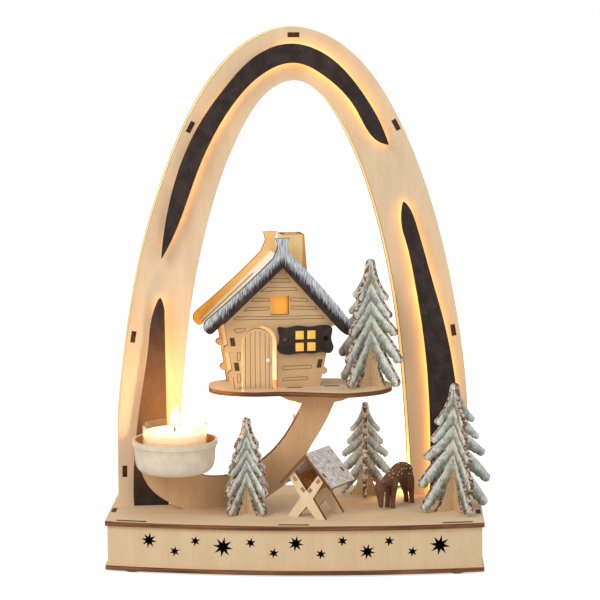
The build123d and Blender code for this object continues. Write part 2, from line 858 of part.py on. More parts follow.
sustainer_plane = cup_plane.offset(cup_wall)
wick_start = sustainer_plane.offset(sustainer_thickness)

with BuildPart() as wick_sustainer:
    with BuildSketch(sustainer_plane):
        Circle(sustainer_diameter / 2)
    extrude(amount=sustainer_thickness)
    with BuildSketch(wick_start):
        Circle(sustainer_collar_diameter / 2)
        Circle(wick_diameter / 2, mode=Mode.SUBTRACT)
    extrude(amount=sustainer_collar_height)

with BuildPart() as tealight_wick:
    with BuildSketch(wick_start):
        Circle(wick_diameter / 2)
    extrude(amount=wax_height - sustainer_thickness + wick_above_wax)

with BuildPart() as tealight_wax:
    with BuildSketch(sustainer_plane):
        Circle(cup_radius - cup_wall)
    extrude(amount=wax_height)
    with BuildSketch(sustainer_plane):
        Circle(sustainer_diameter / 2)
    extrude(amount=sustainer_thickness, mode=Mode.SUBTRACT)
    with BuildSketch(wick_start):
        Circle(sustainer_collar_diameter / 2)
    extrude(amount=sustainer_collar_height, mode=Mode.SUBTRACT)
    with BuildSketch(wick_start):
        Circle(wick_diameter / 2)
    extrude(amount=wax_height, mode=Mode.SUBTRACT)

finish(dish_seat.part, "dish_seat")
finish(candle_dish.part, "candle_dish")
finish(tealight_cup.part, "tealight_cup")
finish(wick_sustainer.part, "wick_sustainer")
finish(tealight_wick.part, "tealight_wick")
finish(tealight_wax.part, "tealight_wax")


# Platform

house_light_centre = bracket_front.from_local_coords((house_light_place, 0, -house_light_depth))

with BuildPart() as platform:
    with BuildSketch(Plane.XY.offset(platform_level)):
        with BuildLine():
            Spline(
                *[
                    spot(platform_x + across * platform_length, platform_y + away * platform_depth, 0)
                    for across, away in platform_shares
                ],
                periodic=True,
            )
        make_face()
        with Locations((house_light_centre.X, house_light_centre.Y)):
            Circle(house_light_diameter / 2 + glue_gap, mode=Mode.SUBTRACT)
    extrude(amount=ply)
    with BuildSketch(bracket_front.offset(glue_gap)):
        head_tabs(glue_gap)
    extrude(amount=-bracket_thickness - 2 * glue_gap, mode=Mode.SUBTRACT)

finish(platform.part, "platform")


# House walls

def left_edge(height):
    """Place of the left wall edge at a height above the platform."""
    return -house_left_lean * height / house_left_eave


def right_edge(height):
    """Place of the right wall edge at a height above the platform."""
    return house_floor_width + house_right_lean * height / house_right_eave


def wall_outline():
    """Outline of the front and rear walls: leaning sides, log ends and a gable."""
    with BuildLine() as edge:
        Polyline(
            (0, 0), (house_floor_width, 0), (right_edge(house_right_eave), house_right_eave),
            (house_ridge_place, house_ridge_height), (left_edge(house_left_eave), house_left_eave), (0, 0),
        )
    make_face(edge.edges())
    for level in log_end_levels:
        with Locations((left_edge(level) - log_end_out, level), (right_edge(level) + log_end_out, level)):
            Circle(log_end_radius)


def side_strip(side, low, high, gap):
    """Section of a leaning side wall between two heights."""
    wall_edge = left_edge if side < 0 else right_edge
    inner = -side * (side_wall_inset + ply / 2 + gap)
    outer = -side * (side_wall_inset - ply / 2 - gap)
    with BuildLine() as edge:
        Polyline(
            (wall_edge(low) + outer, low), (wall_edge(high) + outer, high), (wall_edge(high) + inner, high),
            (wall_edge(low) + inner, low), (wall_edge(low) + outer, low),
        )
    make_face(edge.edges())


def wall_tenons(gap):
    """Sections of all tenons of the side walls."""
    for side in (-1, 1):
        for level in wall_tenon_levels:
            half = wall_tenon_height / 2 + gap
            side_strip(side, level - half, level + half, gap)


def cut_tenons(plane):
    """Cut the side walls' tenons through the wall that starts at a plane."""
    with BuildSketch(plane) as slots:
        wall_tenons(glue_gap)
    extrude(slots.sketch, amount=-ply, mode=Mode.SUBTRACT)


window_centre = (
    window_opening_left + window_opening_size / 2, window_opening_bottom + window_opening_size / 2
)
attic_centre = (
    attic_opening_left + attic_opening_width / 2,
    attic_opening_bottom + attic_opening_height / 2,
)
house_rear = house_front.offset(-house_depth + ply)

with BuildPart() as house_front_wall:
    with BuildSketch(house_front):
        wall_outline()
        door_radius = door_opening_width / 2
        door_middle = door_opening_left + door_radius
        with Locations((door_middle, (door_opening_height - door_radius) / 2)):
            Rectangle(door_opening_width, door_opening_height - door_radius, mode=Mode.SUBTRACT)
        with Locations((door_middle, door_opening_height - door_radius)):
            Circle(door_radius, mode=Mode.SUBTRACT)
        with Locations(window_centre):
            Rectangle(window_opening_size, window_opening_size, mode=Mode.SUBTRACT)
        with Locations(attic_centre):
            Rectangle(attic_opening_width, attic_opening_height, mode=Mode.SUBTRACT)
    extrude(amount=-ply)
    cut_tenons(house_front)

with BuildPart() as house_back_wall:
    with BuildSketch(house_rear):
        wall_outline()
    extrude(amount=-ply)
    cut_tenons(house_rear)


def house_side_wall(side):
    """A leaning side wall with two tenons at each end."""
    top = (house_left_eave if side < 0 else house_right_eave) - side_wall_drop
    with BuildPart() as wall:
        with BuildSketch(house_front.offset(-ply)):
            side_strip(side, 0, top, 0)
        extrude(amount=-house_depth + 2 * ply)
        for level in wall_tenon_levels:
            half = wall_tenon_height / 2
            with BuildSketch(house_front):
                side_strip(side, level - half, level + half, 0)
            extrude(amount=-house_depth)
    return wall.part


house_left_wall = house_side_wall(-1)
house_right_wall = house_side_wall(1)

finish(house_front_wall.part, "house_front_wall")
finish(house_back_wall.part, "house_back_wall")
finish(house_left_wall, "house_left_wall")
finish(house_right_wall, "house_right_wall")


# Roof boards

left_slope = atan2(house_ridge_height - house_left_eave, house_ridge_place - left_edge(house_left_eave))
right_slope = atan2(house_ridge_height - house_right_eave, right_edge(house_right_eave) - house_ridge_place)
roof_front = house_front.offset(verge_ahead)
roof_length = house_depth + 2 * verge_ahead + roof_step / 2


def roof_board(side, slope, reach):
    """A roof board from the ridge down to its eave, lying on the gables."""
    run = reach - roof_short
    low = house_ridge_height - run * tan(slope)
    end = house_ridge_place + side * run
    with BuildPart() as board:
        with BuildSketch(roof_front):
            with BuildLine():
                Polyline(
                    (house_ridge_place, house_ridge_height), (end, low),
                    (end + side * ply * sin(slope), low + ply * cos(slope)),
                    (house_ridge_place, house_ridge_height + ply / cos(slope)),
                    (house_ridge_place, house_ridge_height),
                )
            make_face()
        extrude(amount=-roof_length)
    return board.part


roof_left_board = roof_board(-1, left_slope, verge_left_reach)
roof_right_board = roof_board(1, right_slope, verge_right_reach)


def verge_points(shares, side, reach):
    """Points of a verge board's edge about the ridge."""
    return [(house_ridge_place + side * out * reach, up * verge_lift) for out, up in shares]


def verge_outline():
    """A verge board: two arms with rounded ends and a flared finial."""
    neck = finial_neck_half_width
    flare = (neck + finial_half_width) / 2
    flare_height = (finial_neck_height + 2 * finial_height) / 3
    with BuildLine() as edge:
        left_low = verge_points(verge_left_low_shares, -1, verge_left_reach)
        left_end = verge_points(verge_left_end_shares, -1, verge_left_reach)
        left_top = verge_points(verge_left_top_shares, -1, verge_left_reach)
        right_low = verge_points(verge_right_low_shares, 1, verge_right_reach)
        right_end = verge_points(verge_right_end_shares, 1, verge_right_reach)
        right_top = verge_points(verge_right_top_shares, 1, verge_right_reach)
        Polyline(left_low[0], (house_ridge_place, verge_ridge_low), right_low[0])
        Spline(right_low[0], right_low[1], right_low[2], right_end[0], right_end[1], right_end[2])
        Spline(right_end[2], right_top[0], right_top[1])
        Polyline(right_top[1], (house_ridge_place + neck, finial_neck_height))
        Spline(
            (house_ridge_place + neck, finial_neck_height),
            (house_ridge_place + flare, flare_height),
            (house_ridge_place + finial_half_width, finial_height),
        )
        Line(
            (house_ridge_place + finial_half_width, finial_height),
            (house_ridge_place - finial_half_width, finial_height),
        )
        Spline(
            (house_ridge_place - finial_half_width, finial_height),
            (house_ridge_place - flare, flare_height),
            (house_ridge_place - neck, finial_neck_height),
        )
        Polyline((house_ridge_place - neck, finial_neck_height), left_top[1])
        Spline(left_top[1], left_top[0], left_end[2])
        Spline(left_end[2], left_end[1], left_end[0], left_low[2], left_low[1], left_low[0])
    make_face(edge.edges())


def verge_board(plane):
    """A verge board from its rear plane towards the viewer."""
    with BuildPart() as board:
        with BuildSketch(plane):
            verge_outline()
        extrude(amount=ply)
    return board.part


front_verge_board = verge_board(roof_front)
rear_verge_board = verge_board(roof_front.offset(-roof_length - ply))

finish(roof_left_board, "roof_left_board")
finish(roof_right_board, "roof_right_board")
finish(front_verge_board, "front_verge_board")
finish(rear_verge_board, "rear_verge_board")


# Chimney

def slope_height(place):
    """Height of the right roof board's top at a place across the house."""
    return house_ridge_height + ply / cos(right_slope) - (place - house_ridge_place) * tan(right_slope)


chimney_start = house_ridge_place + chimney_left
chimney_front = roof_front.offset(-chimney_setback)


def chimney_board(near_top, far_top, near_low, far_low, plane, thickness):
    """One upright board of the chimney, its foot cut along the roof."""
    with BuildSketch(plane) as section:
        Polygon(
            (near_top, chimney_top), (near_low, slope_height(near_low)), (far_low, slope_height(far_low)),
            (far_top, chimney_top), align=None,
        )
    extrude(section.sketch, amount=-thickness)


with BuildPart() as chimney:
    outer_top = chimney_start + chimney_width
    outer_low = outer_top + chimney_spread
    left_inner = chimney_start + chimney_sheet
    right_top = outer_top - chimney_sheet
    right_low = outer_low - chimney_sheet
    chimney_board(chimney_start, left_inner, chimney_start, left_inner, chimney_front, chimney_depth)
    chimney_board(right_top, outer_top, right_low, outer_low, chimney_front, chimney_depth)
    for plane in (chimney_front, chimney_front.offset(-chimney_depth + chimney_sheet)):
        chimney_board(left_inner, right_top, left_inner, right_low, plane, chimney_sheet)

finish(chimney.part, "chimney")


# Door, window and attic

door_lip = ply * sin(radians(door_ajar))
door_corner = house_front.from_local_coords((door_opening_left + door_lip, 0, 0))
door_turn = radians(house_yaw - door_ajar)
door_plane = Plane(
    origin=door_corner, x_dir=(cos(door_turn), sin(door_turn), 0), z_dir=(sin(door_turn), -cos(door_turn), 0)
)

with BuildPart() as house_door:
    with BuildSketch(door_plane):
        radius = door_width / 2
        with Locations((radius, (door_height - radius) / 2)):
            Rectangle(door_width, door_height - radius)
        with Locations((radius, door_height - radius)):
            Circle(radius)
    extrude(amount=-ply)

with BuildPart() as door_knob:
    knob_place = (door_knob_share * door_width, door_knob_height)
    with BuildSketch(door_plane):
        with Locations(knob_place):
            Circle(door_knob_stem_diameter / 2)
    extrude(amount=door_knob_stem + door_knob_diameter / 2)
    with Locations(door_plane):
        with Locations((*knob_place, door_knob_stem + door_knob_diameter / 2)):
            Sphere(door_knob_diameter / 2)


def heart(across, up, mode):
    """A small heart about a place in the sketch."""
    half = [(heart_width * x, up + heart_width * y) for x, y in heart_half_shares]
    with BuildLine() as edge:
        Spline(*[(across + x, y) for x, y in half])
        Spline(*[(across - x, y) for x, y in half])
    make_face(edge.edges(), mode=mode)


shutter_corner = house_front.shift_origin(house_front.from_local_coords((shutter_left, shutter_bottom, 0)))

with BuildPart() as window_shutters:
    with BuildSketch(shutter_corner):
        with BuildLine():
            Spline(*sized(shutter_shares, shutter_width, shutter_height), periodic=True)
        make_face()
        with Locations((window_middle_place - shutter_left, window_middle_height - shutter_bottom)):
            with GridLocations(light_gap_pitch, light_gap_pitch, 2, 2):
                Rectangle(light_gap_size, light_gap_size, mode=Mode.SUBTRACT)
        for share in heart_place_shares:
            heart(share * shutter_width, heart_height_share * shutter_height, Mode.SUBTRACT)
    extrude(amount=ply)

with BuildPart() as window_panes:
    with BuildSketch(house_front.offset(-ply)):
        with Locations(window_centre):
            Rectangle(window_opening_size + pane_lap, window_opening_size + pane_lap)
    extrude(amount=-pane_thickness)

with BuildPart() as attic_pane:
    with BuildSketch(house_front.offset(-ply)):
        with Locations(attic_centre):
            Rectangle(attic_opening_width + pane_lap, attic_opening_height + pane_lap)
    extrude(amount=-pane_thickness)

finish(house_door.part, "house_door")
finish(door_knob.part, "door_knob")
finish(window_shutters.part, "window_shutters")
finish(window_panes.part, "window_panes")
finish(attic_pane.part, "attic_pane")


# House light and its lead

light_axis_plane = Plane(origin=(house_light_centre.X, house_light_centre.Y, platform_level))

with BuildPart() as house_light:
    with BuildSketch(light_axis_plane.offset(-house_light_drop)):
        Circle(house_light_diameter / 2)
    extrude(amount=house_light_drop + ply + house_light_rise)
    with Locations(light_axis_plane.offset(ply + house_light_rise)):
        Sphere(house_light_diameter / 2)

light_bottom = bracket_height - house_light_drop
behind_bracket = [
    (bracket_reach * across, bracket_height * up, -lead_depth) for across, up in lead_turn_shares
]
lead_places = [
    (house_light_place, light_bottom, -house_light_depth),
    (house_light_place, bracket_height * lead_first_turn_share, -house_light_depth),
    *behind_bracket,
    (lead_foot_place, bracket_height * lead_last_turn_share, -lead_depth),
]
route = [
    *[bracket_front.from_local_coords(place) for place in lead_places],
    Vector(lead_foot.X, lead_foot.Y, case_middle_level),
    Vector(base_centre_x + switch_x, lead_foot.Y, case_middle_level),
    Vector(base_centre_x + switch_x, back_panel_front - switch_depth, case_middle_level),
]


def corner_radii(points):
    """Largest arc at each corner that its two runs leave room for."""
    radii = []
    for before, corner, after in zip(points, points[1:], points[2:]):
        turn = radians((corner - before).get_angle(after - corner))
        radii.append(0.45 * min((corner - before).length, (after - corner).length) / tan(turn / 2))
    return radii


lead_radii = corner_radii(route)
print("lead radii", [round(radius, 1) for radius in lead_radii])

with BuildPart() as house_light_lead:
    with BuildLine():
        path = FilletPolyline(*route, radius=lead_radii)
    with BuildSketch(Plane(origin=path @ 0, z_dir=path % 0)):
        Circle(lead_diameter / 2)
    sweep()

lead_section = pi * lead_diameter ** 2 / 4
print("lead volume over section times length", house_light_lead.part.volume / (lead_section * path.length))

finish(house_light.part, "house_light")
finish(house_light_lead.part, "house_light_lead")


# Trees

def tree_side(side, height, half_width):
    """Edges of one half of a tree from its crown down to its foot."""

    def place(share):
        return Vector(side * half_width * share[0], height * share[1])

    starts = [tier[0] for tier in tree_tier_shares[1:]] + [tree_trunk_shares[0]]
    for tier, below, tufts, depth in zip(tree_tier_shares, starts, tree_tuft_counts, tree_tuft_depth_shares):
        top_start, top_middle, top_end, tip, low = [place(share) for share in tier]
        ThreePointArc(top_start, top_middle, top_end)
        ThreePointArc(top_end, tip, low)
        step = (place(below) - low) / tufts
        outwards = Vector(-side * step.Y, side * step.X).normalized()
        for k in range(tufts - 1):
            sag = outwards * depth * half_width * (1 - k / tufts)
            corner = low + step * k
            ThreePointArc(corner, corner + step / 2 + sag, corner + step)
        Line(place(below) - step, place(below))
    ThreePointArc(*[place(share) for share in tree_trunk_shares])


def tree_plate(plane, height, half_width, slot_down):
    """One plate of a tree, slotted from above or from below to half its height."""
    shoulder = (tree_tier_shares[0][0][0] * half_width, tree_tier_shares[0][0][1] * height)
    foot = tree_trunk_shares[-1][0] * half_width
    with BuildPart() as plate:
        with BuildSketch(plane):
            with BuildLine():
                tree_side(-1, height, half_width)
                tree_side(1, height, half_width)
                ThreePointArc(shoulder, (0, height), (-shoulder[0], shoulder[1]))
                Line((-foot, 0), (foot, 0))
            make_face()
        extrude(amount=ply / 2, both=True)
        with BuildSketch(plane):
            with Locations((0, height / 2)):
                align = Align.MIN if slot_down else Align.MAX
                Rectangle(ply + 2 * glue_gap, height / 2 + overrun, align=(Align.CENTER, align))
        extrude(amount=ply, both=True, mode=Mode.SUBTRACT)
    return plate.part


trees = (
    ("platform_tree", platform_tree_x, platform_tree_y, platform_top, large_tree_height,
     large_tree_half_width, platform_tree_yaw),
    ("front_left_tree", front_left_tree_x, front_left_tree_y, base_top, small_tree_height,
     small_tree_half_width, front_left_tree_yaw),
    ("rear_centre_tree", rear_centre_tree_x, rear_centre_tree_y, base_top, small_tree_height,
     small_tree_half_width, rear_centre_tree_yaw),
    ("front_right_tree", front_right_tree_x, front_right_tree_y, base_top, large_tree_height,
     large_tree_half_width, front_right_tree_yaw),
)

for name, x, y, level, height, half_width, yaw in trees:
    finish(tree_plate(upright(x, y, level, yaw), height, half_width, True), f"{name}_plate_a")
    finish(tree_plate(upright(x, y, level, yaw + 90), height, half_width, False), f"{name}_plate_b")


# Hay rack

rack_front = upright(rack_x, rack_y, base_top, rack_yaw)
rack_slope = radians(rack_roof_slope)
arm_middle = (rack_arm_inner + rack_arm_outer) / 2
trough_foot = (rack_crotch_high + rack_waist_height) / 2


def under_roof(place):
    """Height of the hay rack roof's underside at a distance from its middle."""
    return rack_roof_ridge - abs(place) * tan(rack_slope)


trough_slope = atan2(under_roof(arm_middle) - trough_foot, arm_middle)


def trough_tenons(gap, mode):
    """Sections of both trough boards' tenons, along the middle lines of the two arms."""
    for side in (-1, 1):
        for level in trough_tenon_levels:
            along = level + trough_tenon / 2
            with Locations((side * along * cos(trough_slope), trough_foot + along * sin(trough_slope))):
                Rectangle(
                    trough_tenon + 2 * gap, rack_sheet + 2 * gap, rotation=side * degrees(trough_slope),
                    mode=mode,
                )


def roof_tenons(gap):
    """Sections of the tenons on the arms' ends that pass through the roof boards."""
    for side in (-1, 1):
        out = side * rack_sheet / 2 * sin(rack_slope)
        up = rack_sheet / 2 * cos(rack_slope)
        with Locations((side * arm_middle + out, under_roof(arm_middle) + up)):
            Rectangle(rack_roof_tenon + 2 * gap, rack_sheet + 2 * gap, rotation=-side * rack_roof_slope)


def rack_legs(plane):
    """A crossed pair of legs cut from one sheet."""
    with BuildPart() as legs:
        with BuildSketch(plane):
            half = [
                (0, rack_crotch_low), (rack_foot_inner, 0), (rack_foot_outer, 0),
                (rack_waist, rack_waist_height),
                (rack_arm_outer, under_roof(rack_arm_outer)), (rack_arm_inner, under_roof(rack_arm_inner)),
                (0, rack_crotch_high),
            ]
            with BuildLine():
                Polyline(*half)
                Polyline(*[(-x, y) for x, y in half])
            make_face()
            roof_tenons(0)
            trough_tenons(glue_gap, Mode.SUBTRACT)
        extrude(amount=-rack_sheet)
    return legs.part


def rack_roof_board(side):
    """A roof board of the hay rack with slots for the arms' tenons."""
    low = under_roof(rack_roof_reach)
    end = side * rack_roof_reach
    with BuildPart() as board:
        with BuildSketch(rack_front.offset(rack_roof_front)):
            with BuildLine():
                Polyline(
                    (0, rack_roof_ridge), (end, low),
                    (end + side * rack_sheet * sin(rack_slope), low + rack_sheet * cos(rack_slope)),
                    (0, rack_roof_ridge + rack_sheet / cos(rack_slope)), (0, rack_roof_ridge),
                )
            make_face()
        extrude(amount=-rack_length - rack_roof_front - rack_roof_rear)
        for plane in (rack_front, rack_front.offset(-rack_length + rack_sheet)):
            with BuildSketch(plane.offset(glue_gap)):
                roof_tenons(glue_gap)
            extrude(amount=-rack_sheet - 2 * glue_gap, mode=Mode.SUBTRACT)
    return board.part


def trough_board(side):
    """A slatted board between the legs, with its tenons and its gaps."""
    inner_length = rack_length - 2 * rack_sheet
    along = (cos(trough_slope), sin(trough_slope))
    middle = (trough_low + trough_high) / 2
    with BuildPart() as board:
        with BuildSketch(rack_front.offset(-rack_sheet)):
            with Locations((side * middle * along[0], trough_foot + middle * along[1])):
                Rectangle(trough_high - trough_low, rack_sheet, rotation=side * degrees(trough_slope))
        extrude(amount=-inner_length)
        with BuildSketch(rack_front):
            for level in trough_tenon_levels:
                place = level + trough_tenon / 2
                with Locations((side * place * along[0], trough_foot + place * along[1])):
                    Rectangle(trough_tenon, rack_sheet, rotation=side * degrees(trough_slope))
        extrude(amount=-rack_length)
        start = rack_front.from_local_coords(
            (side * middle * along[0], trough_foot + middle * along[1], -rack_length / 2)
        )
        slope_dir = rack_front.x_dir * (side * along[0]) + rack_front.y_dir * along[1]
        face_plane = Plane(origin=start, x_dir=rack_front.z_dir, z_dir=rack_front.z_dir.cross(slope_dir))
        pitch = (inner_length - trough_bar) / trough_gap_count
        with BuildSketch(face_plane):
            with GridLocations(pitch, pitch, trough_gap_count, 1):
                Rectangle(pitch - trough_bar, trough_high - trough_low - 2 * trough_rail)
        extrude(amount=rack_sheet, both=True, mode=Mode.SUBTRACT)
    return board.part


finish(rack_legs(rack_front), "hay_rack_front_legs")
finish(rack_legs(rack_front.offset(-rack_length + rack_sheet)), "hay_rack_rear_legs")
for side, name in ((-1, "left"), (1, "right")):
    finish(trough_board(side), f"hay_rack_{name}_trough_board")
    finish(rack_roof_board(side), f"hay_rack_{name}_roof_board")


# Deer

deer_turn = radians(deer_yaw)
deer_along = (cos(deer_turn), sin(deer_turn), 0)
deer_plane = Plane(origin=spot(deer_x, deer_y, base_top), x_dir=deer_along, z_dir=(0, 0, 1))


def deer_point(along, out, up):
    """A point of the deer from shares of its height."""
    return deer_plane.from_local_coords((along * deer_height, out * deer_height, up * deer_height))


with BuildPart() as deer:
    for along, up, half_width, half_height in deer_body_shares:
        plane = Plane(origin=deer_point(along, 0, up), x_dir=deer_plane.y_dir, z_dir=deer_plane.x_dir)
        with BuildSketch(plane):
            Ellipse(half_width * deer_height, half_height * deer_height)
    loft()
    for along, up, half in deer_head_shares:
        with BuildSketch(Plane(origin=deer_point(along, 0, up), x_dir=deer_plane.x_dir)):
            Circle(half * deer_height)
    loft()
    with Locations(deer_point(deer_head_shares[-1][0], 0, deer_head_shares[-1][1])):
        Sphere(deer_muzzle_share * deer_height)
    for side in (-1, 1):
        for leg in (deer_hind_leg_shares, deer_front_leg_shares):
            for along, out, up, half in leg:
                with BuildSketch(Plane(origin=deer_point(along, side * out, up), x_dir=deer_plane.x_dir)):
                    Circle(half * deer_height)
            loft()
        for along, out, up, half in deer_ear_shares:
            place = deer_point(along, side * out, up)
            plane = Plane(origin=place, x_dir=deer_plane.x_dir, z_dir=deer_plane.y_dir * side)
            with BuildSketch(plane):
                Ellipse(half * deer_height, half * deer_height / 2)
        loft()

finish(deer.part, "deer")


# Battery case and door

case_mouth = back_panel_rear + case_rim_thickness
case_back_plane = upright(case_x, case_mouth, case_middle_level, 0)
case_inner_height = case_height - 2 * case_wall
door_height = case_inner_height - 2 * door_gap
pin_level = -case_inner_height / 2 + door_gap + battery_door_thickness / 2
pin_radius = hinge_pin_diameter / 2
battery_door_width = case_inner_width - 2 * door_gap

with BuildPart() as battery_case:
    with BuildSketch(case_back_plane):
        Rectangle(case_outer_width + 2 * case_rim, case_height + 2 * case_rim)
    extrude(amount=case_rim_thickness)
    with BuildSketch(case_back_plane):
        Rectangle(case_outer_width, case_height)
    extrude(amount=case_inner_depth + case_wall)
    with BuildSketch(case_back_plane):
        Rectangle(case_inner_width, case_inner_height)
    extrude(amount=case_inner_depth, mode=Mode.SUBTRACT)
    pin_centre = case_back_plane.from_local_coords((0, pin_level, battery_door_thickness / 2))
    with BuildSketch(Plane(origin=pin_centre, z_dir=(1, 0, 0))):
        Circle(pin_radius + hinge_pin_gap)
    extrude(amount=case_inner_width / 2 + hinge_pin_length + hinge_pin_gap, both=True, mode=Mode.SUBTRACT)

with BuildPart() as battery_door:
    with BuildSketch(Plane(origin=pin_centre, x_dir=(0, 1, 0), z_dir=(1, 0, 0))):
        Circle(battery_door_thickness / 2)
        with Locations((0, (door_height - battery_door_thickness / 2) / 2)):
            Rectangle(battery_door_thickness, door_height - battery_door_thickness / 2)
    extrude(amount=battery_door_width / 2, both=True)
    with BuildSketch(Plane(origin=pin_centre, z_dir=(1, 0, 0))):
        Circle(pin_radius)
    extrude(amount=battery_door_width / 2 + door_gap + hinge_pin_length, both=True)
    with BuildSketch(case_back_plane):
        with Locations((0, pin_level + door_height - battery_door_thickness - door_grip_height)):
            Rectangle(door_grip_width, door_grip_height)
    extrude(amount=door_grip_depth, mode=Mode.SUBTRACT)

cell_radius = cell_diameter / 2
cell_level = -case_inner_height / 2 + cell_radius + cell_rest_gap
cell_depths = [
    case_inner_depth - cell_gap - cell_radius - k * (cell_diameter + cell_gap) for k in (0, 1)
]
contact_reach = case_inner_width / 2 - contact_thickness
spring_length = case_inner_width - 2 * contact_thickness - cell_length - cell_nub_length

with BuildPart() as battery_cells:
    for side, depth in zip((-1, 1), cell_depths):
        nub_end = case_back_plane.from_local_coords((side * contact_reach, cell_level, depth))
        with BuildSketch(Plane(origin=nub_end, z_dir=(-side, 0, 0))):
            Circle(cell_nub_diameter / 2)
        extrude(amount=cell_nub_length + cell_gap)
        with BuildSketch(Plane(origin=nub_end, z_dir=(-side, 0, 0)).offset(cell_nub_length)):
            Circle(cell_radius)
        extrude(amount=cell_length)

with BuildPart() as battery_contacts:
    for side, depth in zip((-1, 1), cell_depths):
        for end in (-1, 1):
            wall = case_back_plane.from_local_coords((end * case_inner_width / 2, cell_level, depth))
            with BuildSketch(Plane(origin=wall, z_dir=(-end, 0, 0))):
                Rectangle(contact_size, contact_size)
            extrude(amount=contact_thickness)
            if end != side:
                inner = Plane(origin=wall, z_dir=(-end, 0, 0)).offset(contact_thickness)
                with BuildSketch(inner):
                    Circle(spring_diameter / 2)
                with BuildSketch(inner.offset(spring_length)):
                    Circle(spring_tip_diameter / 2)
                loft()

finish(battery_case.part, "battery_case")
finish(battery_door.part, "battery_door")
finish(battery_cells.part, "battery_cells")
finish(battery_contacts.part, "battery_contacts")


# Switch

switch_plane = upright(switch_x, back_panel_front, case_middle_level, 0)
slider_rest = -switch_travel / 2

with BuildPart() as switch_body:
    with BuildSketch(switch_plane):
        Rectangle(switch_width, switch_height)
    extrude(amount=switch_depth)
    with BuildSketch(switch_plane):
        Rectangle(slider_width + switch_travel + 2 * slider_gap, slider_height + 2 * slider_gap)
    extrude(amount=switch_pocket_depth, mode=Mode.SUBTRACT)

with BuildPart() as switch_slider:
    with BuildSketch(switch_plane.offset(switch_pocket_depth - slider_gap)):
        with Locations((slider_rest, 0)):
            Rectangle(slider_width, slider_height)
    extrude(amount=-switch_pocket_depth + slider_gap - ply - slider_proud)

finish(switch_body.part, "switch_body")
finish(switch_slider.part, "switch_slider")
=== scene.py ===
from math import cos, pi, radians, sin

import bmesh
import bpy
from mathutils import Matrix, Vector


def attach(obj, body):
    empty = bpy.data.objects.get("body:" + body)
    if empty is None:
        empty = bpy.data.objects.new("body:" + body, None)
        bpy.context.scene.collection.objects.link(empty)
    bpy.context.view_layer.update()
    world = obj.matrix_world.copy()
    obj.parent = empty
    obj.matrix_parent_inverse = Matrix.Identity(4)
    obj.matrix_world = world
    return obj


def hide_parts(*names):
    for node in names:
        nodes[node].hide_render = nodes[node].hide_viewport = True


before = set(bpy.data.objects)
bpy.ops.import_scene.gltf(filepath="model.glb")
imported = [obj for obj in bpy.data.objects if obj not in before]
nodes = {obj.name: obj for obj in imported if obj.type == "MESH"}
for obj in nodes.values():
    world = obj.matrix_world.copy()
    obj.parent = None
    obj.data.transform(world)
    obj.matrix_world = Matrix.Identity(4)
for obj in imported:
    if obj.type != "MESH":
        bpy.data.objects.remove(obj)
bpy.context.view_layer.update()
MM = 0.001


# Camera and room
# The object stands on a pale floor before a white backdrop, seen from a little above with a long lens.
# Two large soft lamps at the front and the white room light it.

camera_data = bpy.data.cameras.new("camera")
camera_data.sensor_width = 36.0
camera_data.lens = 138.0
camera_data.clip_start = 0.05
camera_data.clip_end = 20.0
camera = bpy.data.objects.new("camera", camera_data)
bpy.context.scene.collection.objects.link(camera)
camera_place = Vector((43.23, -1340.42, 345.57)) * MM
camera_heading = 1.85
camera_pitch = 90.0 - 8.14
camera_roll = -0.2
camera.matrix_world = (
    Matrix.Translation(camera_place)
    @ Matrix.Rotation(radians(camera_heading), 4, "Z")
    @ Matrix.Rotation(radians(camera_pitch), 4, "X")
    @ Matrix.Rotation(radians(camera_roll), 4, "Z")
)
bpy.context.scene.camera = camera
bpy.context.scene.view_settings.view_transform = "Standard"


def linear(red, green, blue):
    """A colour from its everyday 0 to 255 values."""
    shares = [value / 255 for value in (red, green, blue)]
    return tuple(((v + 0.055) / 1.055) ** 2.4 if v > 0.04 else v / 12.92 for v in shares) + (1.0,)


def new_material(name, roughness):
    """A material with one Principled shader; returns it, its net of nodes and the shader."""
    material = bpy.data.materials.new(name)
    material.use_nodes = True
    net = material.node_tree
    shader = net.nodes["Principled BSDF"]
    shader.inputs["Roughness"].default_value = roughness
    if roughness > 0.5:
        shader.inputs["Specular IOR Level"].default_value = 0.15
    return material, net, shader


def feed(net, socket, value):
    """Link a socket to an output, or set it to a number, a colour or a vector."""
    if isinstance(value, bpy.types.NodeSocket):
        net.links.new(value, socket)
    elif isinstance(value, (int, float)) or len(value) == len(socket.default_value):
        socket.default_value = value
    else:
        socket.default_value = (*value, 1.0)


def add_node(net, kind, inputs=None, **settings):
    """One node with its settings, and its inputs by name or number."""
    node = net.nodes.new(kind)
    for name, value in settings.items():
        setattr(node, name, value)
    for socket, value in (inputs or {}).items():
        feed(net, node.inputs[socket], value)
    return node


def calc(net, operation, first, second=0.0, clamp=False):
    """One Math node."""
    node = add_node(net, "ShaderNodeMath", {0: first, 1: second}, operation=operation, use_clamp=clamp)
    return node.outputs[0]


def white_seen(net, strength):
    """Strength of the white that only camera, mirror and glass rays see."""
    path = add_node(net, "ShaderNodeLightPath")
    seen = calc(net, "ADD", path.outputs["Is Camera Ray"], path.outputs["Is Glossy Ray"])
    seen = calc(net, "ADD", seen, path.outputs["Is Transmission Ray"], clamp=True)
    return calc(net, "MULTIPLY", seen, strength)


